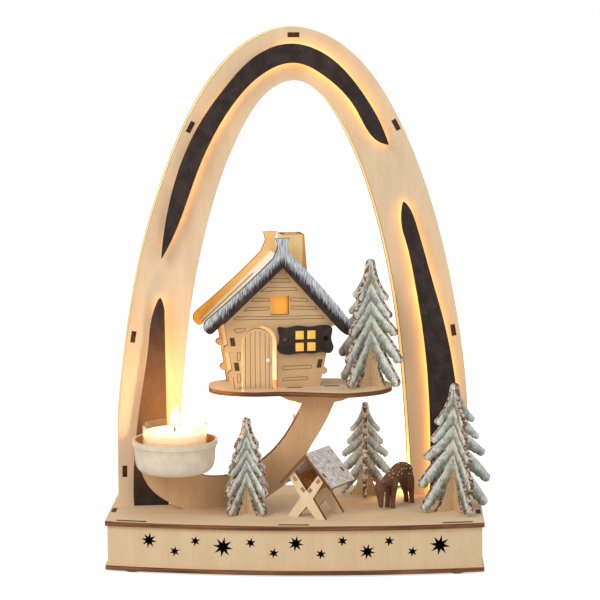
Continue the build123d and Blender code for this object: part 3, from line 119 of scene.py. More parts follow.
floor_mesh = bpy.data.meshes.new("floor")
floor_half = 3.0
floor_mesh.from_pydata(
    [(-floor_half, -floor_half, 0), (floor_half, -floor_half, 0), (floor_half, floor_half, 0),
     (-floor_half, floor_half, 0)], [], [(0, 1, 2, 3)],
)
floor = bpy.data.objects.new("floor", floor_mesh)
bpy.context.scene.collection.objects.link(floor)
floor_material, floor_net, floor_shader = new_material("white_floor", 0.9)
floor_shader.inputs["Base Color"].default_value = linear(226, 225, 222)
floor_shader.inputs["Emission Color"].default_value = (1.0, 1.0, 1.0, 1.0)
floor_white = 0.66
feed(floor_net, floor_shader.inputs["Emission Strength"], white_seen(floor_net, floor_white))
floor_mesh.materials.append(floor_material)

world = bpy.data.worlds.new("room")
world.use_nodes = True
bpy.context.scene.world = world
sky = world.node_tree.nodes["Background"]
sky.inputs["Color"].default_value = (1.0, 1.0, 1.0, 1.0)
room_strength = 0.62
seen_share = white_seen(world.node_tree, 1.0 - room_strength)
feed(world.node_tree, sky.inputs["Strength"], calc(world.node_tree, "ADD", seen_share, room_strength))


def area_light(name, place, target, size, power, colour):
    """A square soft light that looks at a point."""
    data = bpy.data.lights.new(name, "AREA")
    data.size = size
    data.energy = power
    data.color = colour
    light = bpy.data.objects.new(name, data)
    bpy.context.scene.collection.objects.link(light)
    light.location = place
    light.rotation_euler = (Vector(target) - Vector(place)).to_track_quat("-Z", "Y").to_euler()


object_middle = (0, 0, 0.12)
area_light("key", (-0.9, -1.1, 1.1), object_middle, size=0.8, power=13.0, colour=(1.0, 0.98, 0.95))
area_light("fill", (1.2, -1.3, 0.7), object_middle, size=1.0, power=5.0, colour=(0.97, 0.98, 1.0))


# Box
# A bow-fronted box of thin birch plywood, cut by laser, so every sheet has a brown burnt edge. The top
# and bottom plates hold the walls by tenons, and the bent front wall is pierced with stars.

base_centre_x = -2.5
base_top = 30.2
birch_face = linear(224, 200, 168)
birch_dark = linear(202, 168, 132)
burnt_edge = linear(142, 94, 60)
burnt_dark = linear(84, 51, 33)


def noise(net, vector, scale, detail=3.0, roughness=0.5):
    """One Noise Texture, its factor."""
    inputs = {"Vector": vector, "Scale": scale, "Detail": detail, "Roughness": roughness}
    return add_node(net, "ShaderNodeTexNoise", inputs).outputs["Fac"]


def spread(net, value, low, high, start=0.0, end=1.0):
    """Map a value from low..high to start..end, smooth and held at both ends."""
    inputs = {"Value": value, "From Min": low, "From Max": high, "To Min": start, "To Max": end}
    return add_node(net, "ShaderNodeMapRange", inputs, interpolation_type="SMOOTHSTEP").outputs["Result"]


def blended(net, factor, first, second):
    """Mix two colours."""
    node = add_node(net, "ShaderNodeMix", {"Factor": factor, 6: first, 7: second}, data_type="RGBA")
    return node.outputs[2]


def vector_math(net, operation, first, second):
    """One Vector Math node: its vector, or its value where the result is a length."""
    node = add_node(net, "ShaderNodeVectorMath", {0: first, 1: second}, operation=operation)
    return node.outputs["Value" if operation in ("DOT_PRODUCT", "DISTANCE") else "Vector"]


def along(net, vector, direction):
    """Length of a vector along a direction."""
    return vector_math(net, "DOT_PRODUCT", vector, direction)


def gathered(net, x, y, z):
    """A vector from three values."""
    return add_node(net, "ShaderNodeCombineXYZ", {"X": x, "Y": y, "Z": z}).outputs[0]


def bumped(net, shader, height, strength, distance):
    """Give a shader a bump."""
    inputs = {"Strength": strength, "Distance": distance, "Height": height}
    feed(net, shader.inputs["Normal"], add_node(net, "ShaderNodeBump", inputs).outputs[0])


def object_place(net):
    """Place on the object, in metres."""
    return add_node(net, "ShaderNodeTexCoord").outputs["Object"]


def one_side(net, direction, both=False):
    """One where the surface faces a direction, or away from it too, and nothing on a sheet's edges."""
    turned = along(net, add_node(net, "ShaderNodeTexCoord").outputs["Normal"], direction)
    if both:
        turned = calc(net, "ABSOLUTE", turned)
    return spread(net, turned, 0.75, 0.85)


def from_point(net, place, direction, point):
    """Millimetres from a point along a direction."""
    direction = Vector(direction)
    return calc(net, "SUBTRACT", along(net, place, direction / MM), direction.dot(Vector(point)))


def sheet_axes(net, facing, grain):
    """Millimetres along the grain, across it and through the sheet; and the mask of its two faces."""
    facing = Vector(facing).normalized()
    grain = Vector(grain).normalized()
    place = object_place(net)
    run, across, deep = (along(net, place, way / MM) for way in (grain, facing.cross(grain), facing))
    return run, across, deep, one_side(net, facing, both=True)


def wood_colour(net, run, across, deep, face, dark):
    """Pale plywood: a soft broad figure, fine streaks along the grain and small pores."""
    def stretched(length, width):
        sizes = ((run, length), (across, width), (deep, width))
        return gathered(net, *(calc(net, "DIVIDE", way, size) for way, size in sizes))

    figure = noise(net, stretched(70.0, 12.0), 1.0, 2.0)
    streaks = noise(net, stretched(16.0, 0.8), 1.0, 4.0, 0.6)
    pores = noise(net, stretched(2.4, 0.28), 1.0, 2.0)
    base = blended(net, spread(net, figure, 0.3, 0.75, 0.0, 0.38), face, dark)
    base = blended(net, spread(net, streaks, 0.45, 0.8, 0.0, 0.35), base, dark)
    return blended(net, spread(net, pores, 0.62, 0.75, 0.0, 0.22), base, burnt_edge), streaks


def edge_colour(net, run, across, deep, light=burnt_edge, dark=burnt_dark):
    """Burnt sheet edge: thin plies of lighter and darker brown, a little uneven along the edge."""
    far = 0.015
    in_plies = gathered(net, calc(net, "MULTIPLY", run, far), calc(net, "MULTIPLY", across, far), deep)
    plies = noise(net, in_plies, 1.5, 2.0)
    soot = noise(net, gathered(net, run, across, calc(net, "MULTIPLY", deep, 0.3)), 0.1, 3.0)
    base = blended(net, spread(net, plies, 0.4, 0.62), light, dark)
    return blended(net, spread(net, soot, 0.4, 0.7, 0.0, 0.3), base, dark)


def birch_sheet(name, facing, grain, face=birch_face, dark=birch_dark, edge=(burnt_edge, burnt_dark)):
    """Bare birch plywood with burnt edges, for a sheet that faces one way."""
    material, net, shader = new_material(name, 0.62)
    run, across, deep, mask = sheet_axes(net, facing, grain)
    wood, streaks = wood_colour(net, run, across, deep, face, dark)
    burnt_colour = edge_colour(net, run, across, deep, *edge)
    feed(net, shader.inputs["Base Color"], blended(net, mask, burnt_colour, wood))
    bumped(net, shader, streaks, strength=0.25, distance=0.0002)
    return material


def dress(material, *names):
    """Give CAD nodes a material."""
    for name in names:
        for slot in nodes[name].material_slots:
            slot.material = material


level_face = linear(228, 203, 168)
level_dark = linear(205, 170, 131)
dress(birch_sheet("birch_level", (0, 0, 1), (1, 0, 0), level_face, level_dark),
      "base_top_plate", "base_bottom_plate")
front_face = linear(218, 194, 157)
front_dark = linear(200, 168, 128)
tenon_edge = (linear(92, 60, 40), linear(56, 36, 24))
dress(birch_sheet("birch_front", (0, 1, 0), (0, 0, 1), front_face, front_dark, tenon_edge),
      "base_front_panel", "base_back_panel")
dress(birch_sheet("birch_side", (1, 0, 0), (0, 1, 0), front_face, front_dark, tenon_edge),
      "base_left_panel", "base_right_panel")


def plain(name, colour, roughness, spot_size, spot_shade, bump=0.1):
    """One even finish with a fine mottle: spots of a size in millimetres and a share of the colour."""
    material, net, shader = new_material(name, roughness)
    mottle = noise(net, object_place(net), 1.0 / (spot_size * MM), 4.0)
    darker = tuple(v * spot_shade for v in colour[:3]) + (1.0,)
    feed(net, shader.inputs["Base Color"], blended(net, spread(net, mottle, 0.3, 0.7), darker, colour))
    bumped(net, shader, mottle, strength=bump, distance=spot_size * MM / 8)
    return material


felt_brown = linear(120, 105, 88)
dress(plain("felt", felt_brown, roughness=0.95, spot_size=0.6, spot_shade=0.6, bump=0.6), "base_feet")


# Arch
# Two alike pointed arch plates of birch plywood, held apart by spacers whose dark burnt tenon ends show
# in the front plate. Small warm lamps sit in the front plate and shine to both sides.

arch_yaw = radians(8.5)
arch_facing = Vector((sin(arch_yaw), -cos(arch_yaw), 0))
arch_side = Vector((cos(arch_yaw), sin(arch_yaw), 0))
arch_foot = Vector((-3.9, 16.7, base_top))
dress(birch_sheet("birch_arch", arch_facing, (0, 0, 1)), "arch_front_plate")


def painted_glow_from(net, shader, direction, colour, strength, share=1.0):
    """Paint a glow on the faces that look one way, as if lamps stood before them."""
    glow = calc(net, "MULTIPLY", one_side(net, direction), strength)
    shader.inputs["Emission Color"].default_value = colour
    feed(net, shader.inputs["Emission Strength"], calc(net, "MULTIPLY", glow, share))


lamp_glow = (1.0, 0.56, 0.16, 1.0)
# painted glow: the rear arch plate's front face glows, standing in for the lamps' light between the plates
arch_back = birch_sheet("birch_arch_back_painted_glow", arch_facing, (0, 0, 1))
back_net = arch_back.node_tree
painted_glow_from(back_net, back_net.nodes["Principled BSDF"], arch_facing, (1.0, 0.66, 0.14, 1.0), strength=0.6)
dress(arch_back, "arch_back_plate")


def burnt(name, colour, dark):
    """Sheet edges only: brown with soot."""
    material, net, shader = new_material(name, 0.75)
    soot = noise(net, object_place(net), 900.0, 4.0)
    feed(net, shader.inputs["Base Color"], blended(net, spread(net, soot, 0.35, 0.65), colour, dark))
    bumped(net, shader, soot, strength=0.2, distance=0.0002)
    return material


dress(burnt("burnt_tenon", linear(84, 52, 33), linear(50, 30, 20)), "arch_spacers")


def glowing(name, colour, glow, strength, roughness=0.3):
    """A lit lens or pane."""
    material, net, shader = new_material(name, roughness)
    shader.inputs["Base Color"].default_value = colour
    shader.inputs["Emission Color"].default_value = glow
    shader.inputs["Emission Strength"].default_value = strength
    return material


dress(glowing("arch_lamp", linear(255, 214, 130), lamp_glow, strength=20.0), "arch_lights")


def point_light(name, place, radius, power, colour, carrier=None):
    """A small lamp at a place in millimetres."""
    data = bpy.data.lights.new(name, "POINT")
    data.energy = power
    data.color = colour
    data.shadow_soft_size = radius * MM
    light = bpy.data.objects.new(name, data)
    bpy.context.scene.collection.objects.link(light)
    light.location = Vector(place) * MM
    light.parent = carrier


foot_lamp_across = 76.0
foot_lamp_behind = 7.0
foot_lamp_up = Vector((0, 0, 10.0))
foot_lamp = arch_foot + arch_side * foot_lamp_across - arch_facing * foot_lamp_behind + foot_lamp_up
point_light("arch_foot_glow", foot_lamp, radius=3.0, power=0.03, colour=(1.0, 0.66, 0.22))


# Crescents
# Three narrow crescents of birch plywood, cut by laser and stained charcoal, with nearly black edges.
# Short round pegs hold them clear in front of the arch. A painted glow on their rear stands in for the small
# lamps behind, and painted candle light for the flame near them.

charcoal_face = linear(60, 49, 46)
charcoal_dark = linear(43, 34, 32)


def stained(net, run, across, deep, face, dark):
    """Dark stain that took unevenly: cloudy, with fine pale grain flecks."""
    clouds = noise(net, gathered(net, run, across, deep), 0.12, 4.0, 0.6)
    in_grain = gathered(net, calc(net, "DIVIDE", run, 5.0), calc(net, "DIVIDE", across, 0.7), deep)
    flecks = noise(net, in_grain, 1.0, 3.0)
    base = blended(net, spread(net, clouds, 0.35, 0.68), dark, face)
    return blended(net, spread(net, flecks, 0.55, 0.8, 0.0, 0.35), base, linear(104, 92, 86)), flecks


def stained_sheet(name, facing, grain, face=charcoal_face, dark=charcoal_dark):
    """Dark stained plywood with nearly black edges."""
    material, net, shader = new_material(name, 0.7)
    run, across, deep, mask = sheet_axes(net, facing, grain)
    wood, flecks = stained(net, run, across, deep, face, dark)
    feed(net, shader.inputs["Base Color"], blended(net, mask, linear(44, 32, 27), wood))
    bumped(net, shader, flecks, strength=0.2, distance=0.0002)
    return material


# centre line of the left and top crescents on the arch's face: height, place across, in millimetres
crescent_line = (
    (0.0, -88.5), (60.0, -86.0), (118.0, -82.0), (144.0, -79.0), (180.0, -68.5),
    (217.0, -55.5), (249.0, -36.0), (264.0, -14.0), (300.0, 20.0),
)
line_height = 300.0
line_half_width = 100.0
crescent_wood = stained_sheet("charcoal_arch", arch_facing, (0, 0, 1))
crescent_net = crescent_wood.node_tree
crescent_shader = crescent_net.nodes["Principled BSDF"]
crescent_place = object_place(crescent_net)
crescent_up = from_point(crescent_net, crescent_place, (0, 0, 1), arch_foot)
crescent_across = from_point(crescent_net, crescent_place, arch_side, arch_foot)
height_share = calc(crescent_net, "DIVIDE", crescent_up, line_height)
middle_line = add_node(crescent_net, "ShaderNodeFloatCurve", {"Value": height_share})
line_curve = middle_line.mapping.curves[0]
while len(line_curve.points) < len(crescent_line):
    line_curve.points.new(0.5, 0.5)
for point, (up, across) in zip(line_curve.points, crescent_line):
    point.location = (up / line_height, (across + line_half_width) / (2 * line_half_width))
middle_line.mapping.update()
line_across = calc(crescent_net, "MULTIPLY", middle_line.outputs[0], 2 * line_half_width)
line_across = calc(crescent_net, "SUBTRACT", line_across, line_half_width)
inner_side = spread(crescent_net, calc(crescent_net, "SUBTRACT", crescent_across, line_across), -1.5, 1.5)
# painted glow on the inner half of each crescent's rear for the lamps behind, and painted candle light near
# the flame
painted_rear_glow_colour = (1.0, 0.5, 0.11, 1.0)
painted_rear_glow_strength = 5.2
painted_candle_colour = (1.0, 0.3, 0.03, 1.0)
candle_spot = (-0.078, 0.002, 0.092)
candle_reach = 0.062
painted_candle_strength = 0.28
faces_rear = one_side(crescent_net, -arch_facing)
rear_glow = calc(crescent_net, "MULTIPLY", faces_rear, painted_rear_glow_strength)
rear_glow = calc(crescent_net, "MULTIPLY", rear_glow, inner_side)
to_candle = vector_math(crescent_net, "DISTANCE", crescent_place, candle_spot)
painted_candle_light = spread(crescent_net, to_candle, 0.0, candle_reach, painted_candle_strength, 0.0)
rear_tint = calc(crescent_net, "GREATER_THAN", faces_rear, 0.02)
feed(crescent_net, crescent_shader.inputs["Emission Color"],
     blended(crescent_net, rear_tint, painted_candle_colour, painted_rear_glow_colour))
feed(crescent_net, crescent_shader.inputs["Emission Strength"],
     calc(crescent_net, "ADD", rear_glow, painted_candle_light))
dress(crescent_wood, "top_crescent", "left_crescent", "right_crescent")
dress(birch_sheet("birch_peg", (1, 0, 0), (0, 1, 0)), "crescent_standoffs")


# Bracket and platform
# A curved plate of tan plywood stands upright in the box by a tab at its foot. It carries the dish on a
# small seat at its left, and on its head a bean-shaped platform with a brown burnt edge.

bracket_yaw = radians(14.0)
bracket_facing = (sin(bracket_yaw), -cos(bracket_yaw), 0)
bracket_face = linear(214, 176, 134)
bracket_dark = linear(186, 142, 98)
platform_edge = (linear(138, 92, 54), linear(82, 53, 32))
dress(birch_sheet("birch_bracket", bracket_facing, (0, 0, 1), bracket_face, bracket_dark), "curved_bracket")
dress(birch_sheet("birch_platform", (0, 0, 1), (1, 0, 0), level_face, level_dark, platform_edge),
      "platform", "dish_seat")


# Dish and tealight
# A dish of unglazed off-white ceramic, and in it a tealight that lifts out: a clear cup of wax, with a
# wick that stands in a tin foot and burns.

dish_x = -72.56
dish_y = -26.55
dish_bottom = 56.9
dish_floor = 5.0
cup_wall = 0.5
wax_height = 17.6
bare_wick = 2.2
wax_top = dish_bottom + dish_floor + cup_wall + wax_height
flame_bottom = wax_top + bare_wick
flame_height = 19.0
flame_radius = 3.0

bisque, bisque_net, bisque_shader = new_material("bisque", 0.85)
bisque_place = object_place(bisque_net)
from_axis = vector_math(bisque_net, "SUBTRACT", bisque_place, (dish_x * MM, dish_y * MM, 0.0))
bisque_turn = add_node(bisque_net, "ShaderNodeTexCoord").outputs["Normal"]
level_turn = vector_math(bisque_net, "MULTIPLY", bisque_turn, (1.0, 1.0, 0.0))
bisque_outward = vector_math(bisque_net, "DOT_PRODUCT", from_axis, level_turn)
painted_candlelight_inside = spread(bisque_net, bisque_outward, -0.012, -0.004, 1.0, 0.0)
bisque_clouds = noise(bisque_net, bisque_place, 160.0, 4.0)
bisque_grain = noise(bisque_net, bisque_place, 2200.0, 2.0)
bisque_clay = blended(
    bisque_net, spread(bisque_net, bisque_clouds, 0.3, 0.7), linear(214, 198, 176), linear(226, 211, 190)
)
# painted candle light: the dish's inner faces are painted orange
feed(bisque_net, bisque_shader.inputs["Base Color"],
     blended(bisque_net, painted_candlelight_inside, bisque_clay, linear(206, 146, 88)))
bumped(bisque_net, bisque_shader, bisque_grain, strength=0.25, distance=0.00015)
dress(bisque, "candle_dish")

cup_material, _, cup_shader = new_material("clear_cup", 0.06)
cup_shader.inputs["Base Color"].default_value = linear(255, 250, 238)
cup_shader.inputs["Transmission Weight"].default_value = 1.0
cup_shader.inputs["IOR"].default_value = 1.4
dress(cup_material, "tealight_cup")

wax_material, wax_net, wax_shader = new_material("lit_wax", 0.42)
wax_place = object_place(wax_net)
from_wick = vector_math(wax_net, "DISTANCE", wax_place, Vector((dish_x, dish_y, wax_top)) * MM)
flame_glow_inner = 0.003
flame_glow_outer = 0.024
near_flame = spread(wax_net, from_wick, flame_glow_inner, flame_glow_outer, 1.0, 0.0)
wax_clouds = noise(wax_net, wax_place, 220.0, 3.0)
feed(wax_net, wax_shader.inputs["Base Color"],
     blended(wax_net, spread(wax_net, wax_clouds, 0.3, 0.7), linear(246, 232, 204), linear(252, 243, 224)))
# painted glow: the wax glows for the flame's light in it, warmer and stronger near the wick
feed(wax_net, wax_shader.inputs["Emission Color"],
     blended(wax_net, near_flame, linear(255, 196, 120), linear(255, 240, 205)))
feed(wax_net, wax_shader.inputs["Emission Strength"], spread(wax_net, near_flame, 0.0, 1.0, 0.28, 0.75))
wax_shader.inputs["Subsurface Weight"].default_value = 0.3
wax_shader.inputs["Subsurface Scale"].default_value = 0.004
dress(wax_material, "tealight_wax")

dress(burnt("charred_wick", linear(70, 48, 34), linear(24, 18, 15)), "tealight_wick")
metal_material, metal_net, metal_shader = new_material("bright_tin", 0.3)
metal_shader.inputs["Metallic"].default_value = 1.0
metal_rub = noise(metal_net, object_place(metal_net), 1500.0, 3.0)
feed(metal_net, metal_shader.inputs["Base Color"],
     blended(metal_net, metal_rub, linear(190, 190, 188), linear(216, 216, 214)))
dress(metal_material, "wick_sustainer", "battery_contacts")


def add_piece(name, mesh, material, body):
    """Put a finished mesh in the scene and let it ride on a body."""
    piece = bpy.data.objects.new(name, mesh)
    bpy.context.scene.collection.objects.link(piece)
    mesh.materials.clear()
    mesh.materials.append(material)
    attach(piece, body)
    return piece


# share of the flame's height, share of its radius, lean of the tip in millimetres
flame_profile = (
    (0.0, 0.28, 0.0), (0.06, 0.62, 0.0), (0.16, 0.92, 0.0), (0.28, 1.0, 0.1), (0.42, 0.86, 0.3),
    (0.56, 0.62, 0.6), (0.7, 0.4, 1.0), (0.84, 0.2, 1.5), (0.94, 0.08, 1.9), (1.0, 0.0, 2.2),
)
flame_mesh = bpy.data.meshes.new("flame")
bm = bmesh.new()
flame_sides = 24
rings = []
for share, girth, lean in flame_profile[:-1]:
    ring = []
    for k in range(flame_sides):
        angle = 2 * pi * k / flame_sides
        ring.append(bm.verts.new(Vector((
            dish_x + lean + girth * flame_radius * cos(angle), dish_y + girth * flame_radius * sin(angle),
            flame_bottom + share * flame_height,
        )) * MM))
    rings.append(ring)
for low, high in zip(rings, rings[1:]):
    for k in range(flame_sides):
        bm.faces.new((low[k], low[(k + 1) % flame_sides], high[(k + 1) % flame_sides], high[k]))
tip = bm.verts.new(Vector((dish_x + flame_profile[-1][2], dish_y, flame_bottom + flame_height)) * MM)
for k in range(flame_sides):
    bm.faces.new((rings[-1][k], rings[-1][(k + 1) % flame_sides], tip))
bm.faces.new(list(reversed(rings[0])))
for face in bm.faces:
    face.smooth = True
bmesh.ops.recalc_face_normals(bm, faces=bm.faces)
bm.to_mesh(flame_mesh)
bm.free()
flame_material, flame_net, flame_shader = new_material("flame", 0.5)
flame_up = from_point(flame_net, object_place(flame_net), (0, 0, 1), (0, 0, flame_bottom))
flame_share = calc(flame_net, "DIVIDE", flame_up, flame_height)
flame_shader.inputs["Base Color"].default_value = (0.0, 0.0, 0.0, 1.0)
flame_shader.inputs["Specular IOR Level"].default_value = 0.0
flame_tip = spread(flame_net, flame_share, 0.35, 1.0)
feed(flame_net, flame_shader.inputs["Emission Color"],
     blended(flame_net, flame_tip, (1.0, 0.86, 0.5, 1.0), (1.0, 0.62, 0.2, 1.0)))
feed(flame_net, flame_shader.inputs["Emission Strength"],
     spread(flame_net, flame_share, 0.3, 1.0, 2.2, 1.1))
feed(flame_net, flame_shader.inputs["Alpha"], spread(flame_net, flame_share, 0.0, 0.22, 0.25, 0.95))
flame = add_piece("flame", flame_mesh, flame_material, "tealight")
flame_middle = (dish_x, dish_y, flame_bottom + 10.0)
point_light("candle_light", flame_middle, radius=4.0, power=0.15, colour=(1.0, 0.6, 0.25), carrier=flame)


# House walls
# Front and rear walls of tan plywood, with logs engraved in the front one by laser. The tenons of two
# leaning side walls hold them together.

house_x = -38.5
house_y = -0.9
platform_top = 100.2
house_yaw = radians(14.0)
house_facing = Vector((sin(house_yaw), -cos(house_yaw), 0))
house_side = Vector((cos(house_yaw), sin(house_yaw), 0))
house_face = linear(209, 175, 132)
house_dark = linear(180, 141, 98)


def on_house(across, up, ahead=0.0):
    """A point on the house's front plane, in metres."""
    return (Vector((house_x, house_y, platform_top)) + house_side * across + house_facing * ahead
            + Vector((0, 0, up))) * MM


def house_axes(net):
    """Millimetres across the house, up from the platform, back from its front; and its faces' mask."""
    place = object_place(net)
    across, up, back = (
        from_point(net, place, way, (house_x, house_y, platform_top))
        for way in (house_side, (0, 0, 1), -house_facing)
    )
    return across, up, back, one_side(net, house_facing, both=True)


def painted_glow_wall(name, direction, tint, strength, seen_across, reach, seen_up, top_share):
    """Wall sheet with a painted glow for the inner lamp's light at the open door, most of all low down."""
    material = birch_sheet(name, house_facing, (1, 0, 0.02), house_face, house_dark)
    net = material.node_tree
    across, up, _, _ = house_axes(net)
    off_side = calc(net, "ABSOLUTE", calc(net, "SUBTRACT", across, seen_across))
    near = spread(net, off_side, *reach, 1.0, 0.0)
    low = spread(net, up, *seen_up, 1.0, top_share)
    painted_glow_from(net, net.nodes["Principled BSDF"], direction, tint, strength, calc(net, "MULTIPLY", near, low))
    return material


doorway_right = 22.3
behind_doorway = 27.0
# painted glow: on the right side of the doorway in the front wall, and on the rear wall's front face behind
# it
dress(painted_glow_wall("house_wall", -house_side, (1.0, 0.82, 0.46, 1.0), 1.6, doorway_right,
                   reach=(1.2, 2.2), seen_up=(24.0, 33.0), top_share=0.0), "house_front_wall")
dress(painted_glow_wall("painted_glow_wall", house_facing, (1.0, 0.8, 0.48, 1.0), 1.0, behind_doorway,
                   reach=(5.0, 8.0), seen_up=(4.0, 34.0), top_share=0.4), "house_back_wall")
side_wall_face = linear(238, 212, 166)
dress(birch_sheet("house_side_wall", house_side, house_facing, side_wall_face, house_face, tenon_edge),
      "house_left_wall", "house_right_wall")


def grown(name, mesh, group, values, body, material):
    """Grow a piece from a mesh with a Geometry Nodes tree, and let it ride on a body."""
    seed_object = bpy.data.objects.new(name + "_seed", mesh)
    bpy.context.scene.collection.objects.link(seed_object)
    modifier = seed_object.modifiers.new("grow", "NODES")
    modifier.node_group = group
    values = {**values, "Material": material}
    for item in group.interface.items_tree:
        if item.item_type == "SOCKET" and item.in_out == "INPUT" and item.name in values:
            modifier[item.identifier] = values[item.name]
    seed_object.update_tag()
    ready = seed_object.evaluated_get(bpy.context.evaluated_depsgraph_get())
    result = bpy.data.meshes.new_from_object(ready)
    result.name = name
    seed_object.modifiers.remove(modifier)
    bpy.data.objects.remove(seed_object)
    return add_piece(name, result, material, body)


def node_group(name, inputs):
    """An empty Geometry Nodes tree with a mesh in and out, and named inputs."""
    group = bpy.data.node_groups.new(name, "GeometryNodeTree")
    group.interface.new_socket("Mesh", in_out="INPUT", socket_type="NodeSocketGeometry")
    for socket_name, kind, value in inputs:
        socket = group.interface.new_socket(socket_name, in_out="INPUT", socket_type=kind)
        if value is not None:
            socket.default_value = value
    group.interface.new_socket("Mesh", in_out="OUTPUT", socket_type="NodeSocketGeometry")
    return group, add_node(group, "NodeGroupInput").outputs, add_node(group, "NodeGroupOutput")


def finish_group(group, given, result, geometry):
    """End a Geometry Nodes tree: realize its instances and set its material."""
    realized = add_node(group, "GeometryNodeRealizeInstances", {0: geometry}).outputs[0]
    inputs = {"Geometry": realized, "Material": given["Material"]}
    feed(group, result.inputs[0], add_node(group, "GeometryNodeSetMaterial", inputs).outputs[0])


engraving, given, result = node_group("engraved_lines", (
    ("Radius", "NodeSocketFloat", 0.14 * MM), ("Wave", "NodeSocketFloat", 0.3 * MM),
    ("Spacing", "NodeSocketFloat", 0.6 * MM), ("Material", "NodeSocketMaterial", None),
))
lines = add_node(engraving, "GeometryNodeMeshToCurve", {0: given["Mesh"]}).outputs[0]
steps = add_node(
    engraving, "GeometryNodeResampleCurve", {"Curve": lines, "Length": given["Spacing"]}, mode="LENGTH"
).outputs[0]
waves = add_node(engraving, "ShaderNodeTexNoise", {"Scale": 190.0, "Detail": 1.0}).outputs["Fac"]
swing = calc(engraving, "MULTIPLY", calc(engraving, "SUBTRACT", waves, 0.5), given["Wave"])
sway = gathered(engraving, 0.0, 0.0, swing)
wavy = add_node(engraving, "GeometryNodeSetPosition", {"Geometry": steps, "Offset": sway}).outputs[0]
groove = add_node(
    engraving, "GeometryNodeCurvePrimitiveCircle", {"Resolution": 4, "Radius": given["Radius"]}
).outputs[0]
swept = add_node(engraving, "GeometryNodeCurveToMesh", {"Curve": wavy, "Profile Curve": groove}).outputs[0]
finish_group(engraving, given, result, swept)

# each log or plank: lower left and right corner, then upper right and left, in millimetres on the front
wall_planks = (
    ((21.0, 63.6), (33.7, 63.1), (32.3, 65.3), (22.5, 65.9)),
    ((15.4, 58.2), (37.9, 58.1), (36.5, 59.9), (19.6, 60.5)),
    ((9.7, 52.4), (20.9, 52.1), (20.6, 53.9), (12.0, 54.4)),
    ((33.3, 52.0), (44.3, 51.3), (42.6, 53.3), (33.6, 53.9)),
    ((5.2, 46.8), (20.8, 47.1), (20.6, 48.7), (7.2, 48.8)),
    ((33.7, 47.1), (50.0, 46.2), (48.0, 48.0), (34.0, 48.8)),
    ((-0.8, 41.7), (54.2, 40.8), (53.0, 42.6), (0.2, 43.4)),
    ((0.6, 34.0), (5.6, 34.8), (6.6, 36.6), (-0.4, 36.2)),
    ((1.4, 17.4), (3.0, 17.4), (3.1, 22.3), (1.3, 22.3)),
    ((1.4, 4.1), (3.0, 4.1), (3.1, 9.0), (1.2, 9.0)),
    ((28.5, 10.8), (46.0, 10.9), (46.3, 12.9), (28.7, 12.8)),
    ((28.5, 4.3), (43.8, 4.4), (44.0, 6.0), (28.7, 5.9)),
    ((2.2, 0.7), (6.0, 0.7), (6.0, 1.4), (2.4, 1.4)),
)
line_steps = 8
line_points = []
line_edges = []
for corners in wall_planks:
    first = len(line_points)
    for (s0, h0), (s1, h1) in zip(corners, corners[1:] + corners[:1]):
        for k in range(line_steps):
            share = k / line_steps
            line_points.append(on_house(s0 + (s1 - s0) * share, h0 + (h1 - h0) * share))
    count = len(line_points) - first
    line_edges += [(first + k, first + (k + 1) % count) for k in range(count)]
lines_mesh = bpy.data.meshes.new("wall_lines")
lines_mesh.from_pydata([tuple(p) for p in line_points], line_edges, [])
engraved = burnt("engraved", linear(132, 92, 58), linear(96, 62, 38))
grown("house_wall_engraving", lines_mesh, engraving, {"Radius": 0.16 * MM, "Wave": 0.7 * MM}, "stand",
      engraved)


# Roof and chimney
# Two boards on the gables, and at both ends verge boards with a flared finial. The front verge board is
# dark with brushed snow. The roof boards are pale, and the rear verge board pale with a painted warm glow.

roof_ridge = 28.2
snow_white = linear(214, 219, 224)
snow_grey = linear(136, 143, 151)
roof_shadow_back = 22.3
verge_low_line = 72.4
right_slope = 1.03
left_slope = 0.87
square_to_slope = 0.7
snow_begins = 2.0
snow_full = 5.6
snow_stroke_depth = 11.0


def brushed(net, first, first_width, second, second_width, detail, roughness=0.5):
    """Brush strokes: noise with one size along each of two ways."""
    stretched = gathered(
        net, calc(net, "DIVIDE", first, first_width), calc(net, "DIVIDE", second, second_width), 0.0
    )
    return noise(net, stretched, 1.0, detail, roughness)


def verge_snow(name):
    """Charcoal board with white brush strokes that hang from its upper edge."""
    material, net, shader = new_material(name, 0.7)
    across, up, back, mask = house_axes(net)
    out = calc(net, "ABSOLUTE", calc(net, "SUBTRACT", across, roof_ridge))
    # height above the line of the board's lower edge, square to the slope, which is flatter at the left
    at_left = calc(net, "LESS_THAN", across, roof_ridge)
    slope = calc(net, "SUBTRACT", right_slope, calc(net, "MULTIPLY", at_left, right_slope - left_slope))
    above = calc(net, "ADD", calc(net, "SUBTRACT", up, verge_low_line), calc(net, "MULTIPLY", out, slope))
    above = calc(net, "MULTIPLY", above, square_to_slope)
    strokes = brushed(net, across, 0.9, up, 7.0, 4.0, 0.65)
    uneven = calc(net, "MULTIPLY", calc(net, "SUBTRACT", strokes, 0.5), snow_stroke_depth)
    snow = spread(net, calc(net, "ADD", above, uneven), snow_begins, snow_full)
    fine = brushed(net, across, 0.5, up, 5.0, 3.0)
    white = blended(net, spread(net, fine, 0.35, 0.65), snow_grey, snow_white)
    clouds = noise(net, gathered(net, across, up, back), 0.2, 3.0)
    dark = blended(net, spread(net, clouds, 0.35, 0.65), charcoal_dark, charcoal_face)
    face = blended(net, snow, dark, white)
    feed(net, shader.inputs["Base Color"], blended(net, mask, linear(58, 48, 46), face))
    bumped(net, shader, snow, strength=0.35, distance=0.0004)
    return material


dress(verge_snow("snowy_verge"), "front_verge_board")
painted_glow_verge, verge_net, verge_shader = new_material("painted_glow_verge", 0.6)
across, up, back, mask = house_axes(verge_net)
wood, streaks = wood_colour(verge_net, across, up, back, linear(236, 208, 152), linear(222, 182, 118))
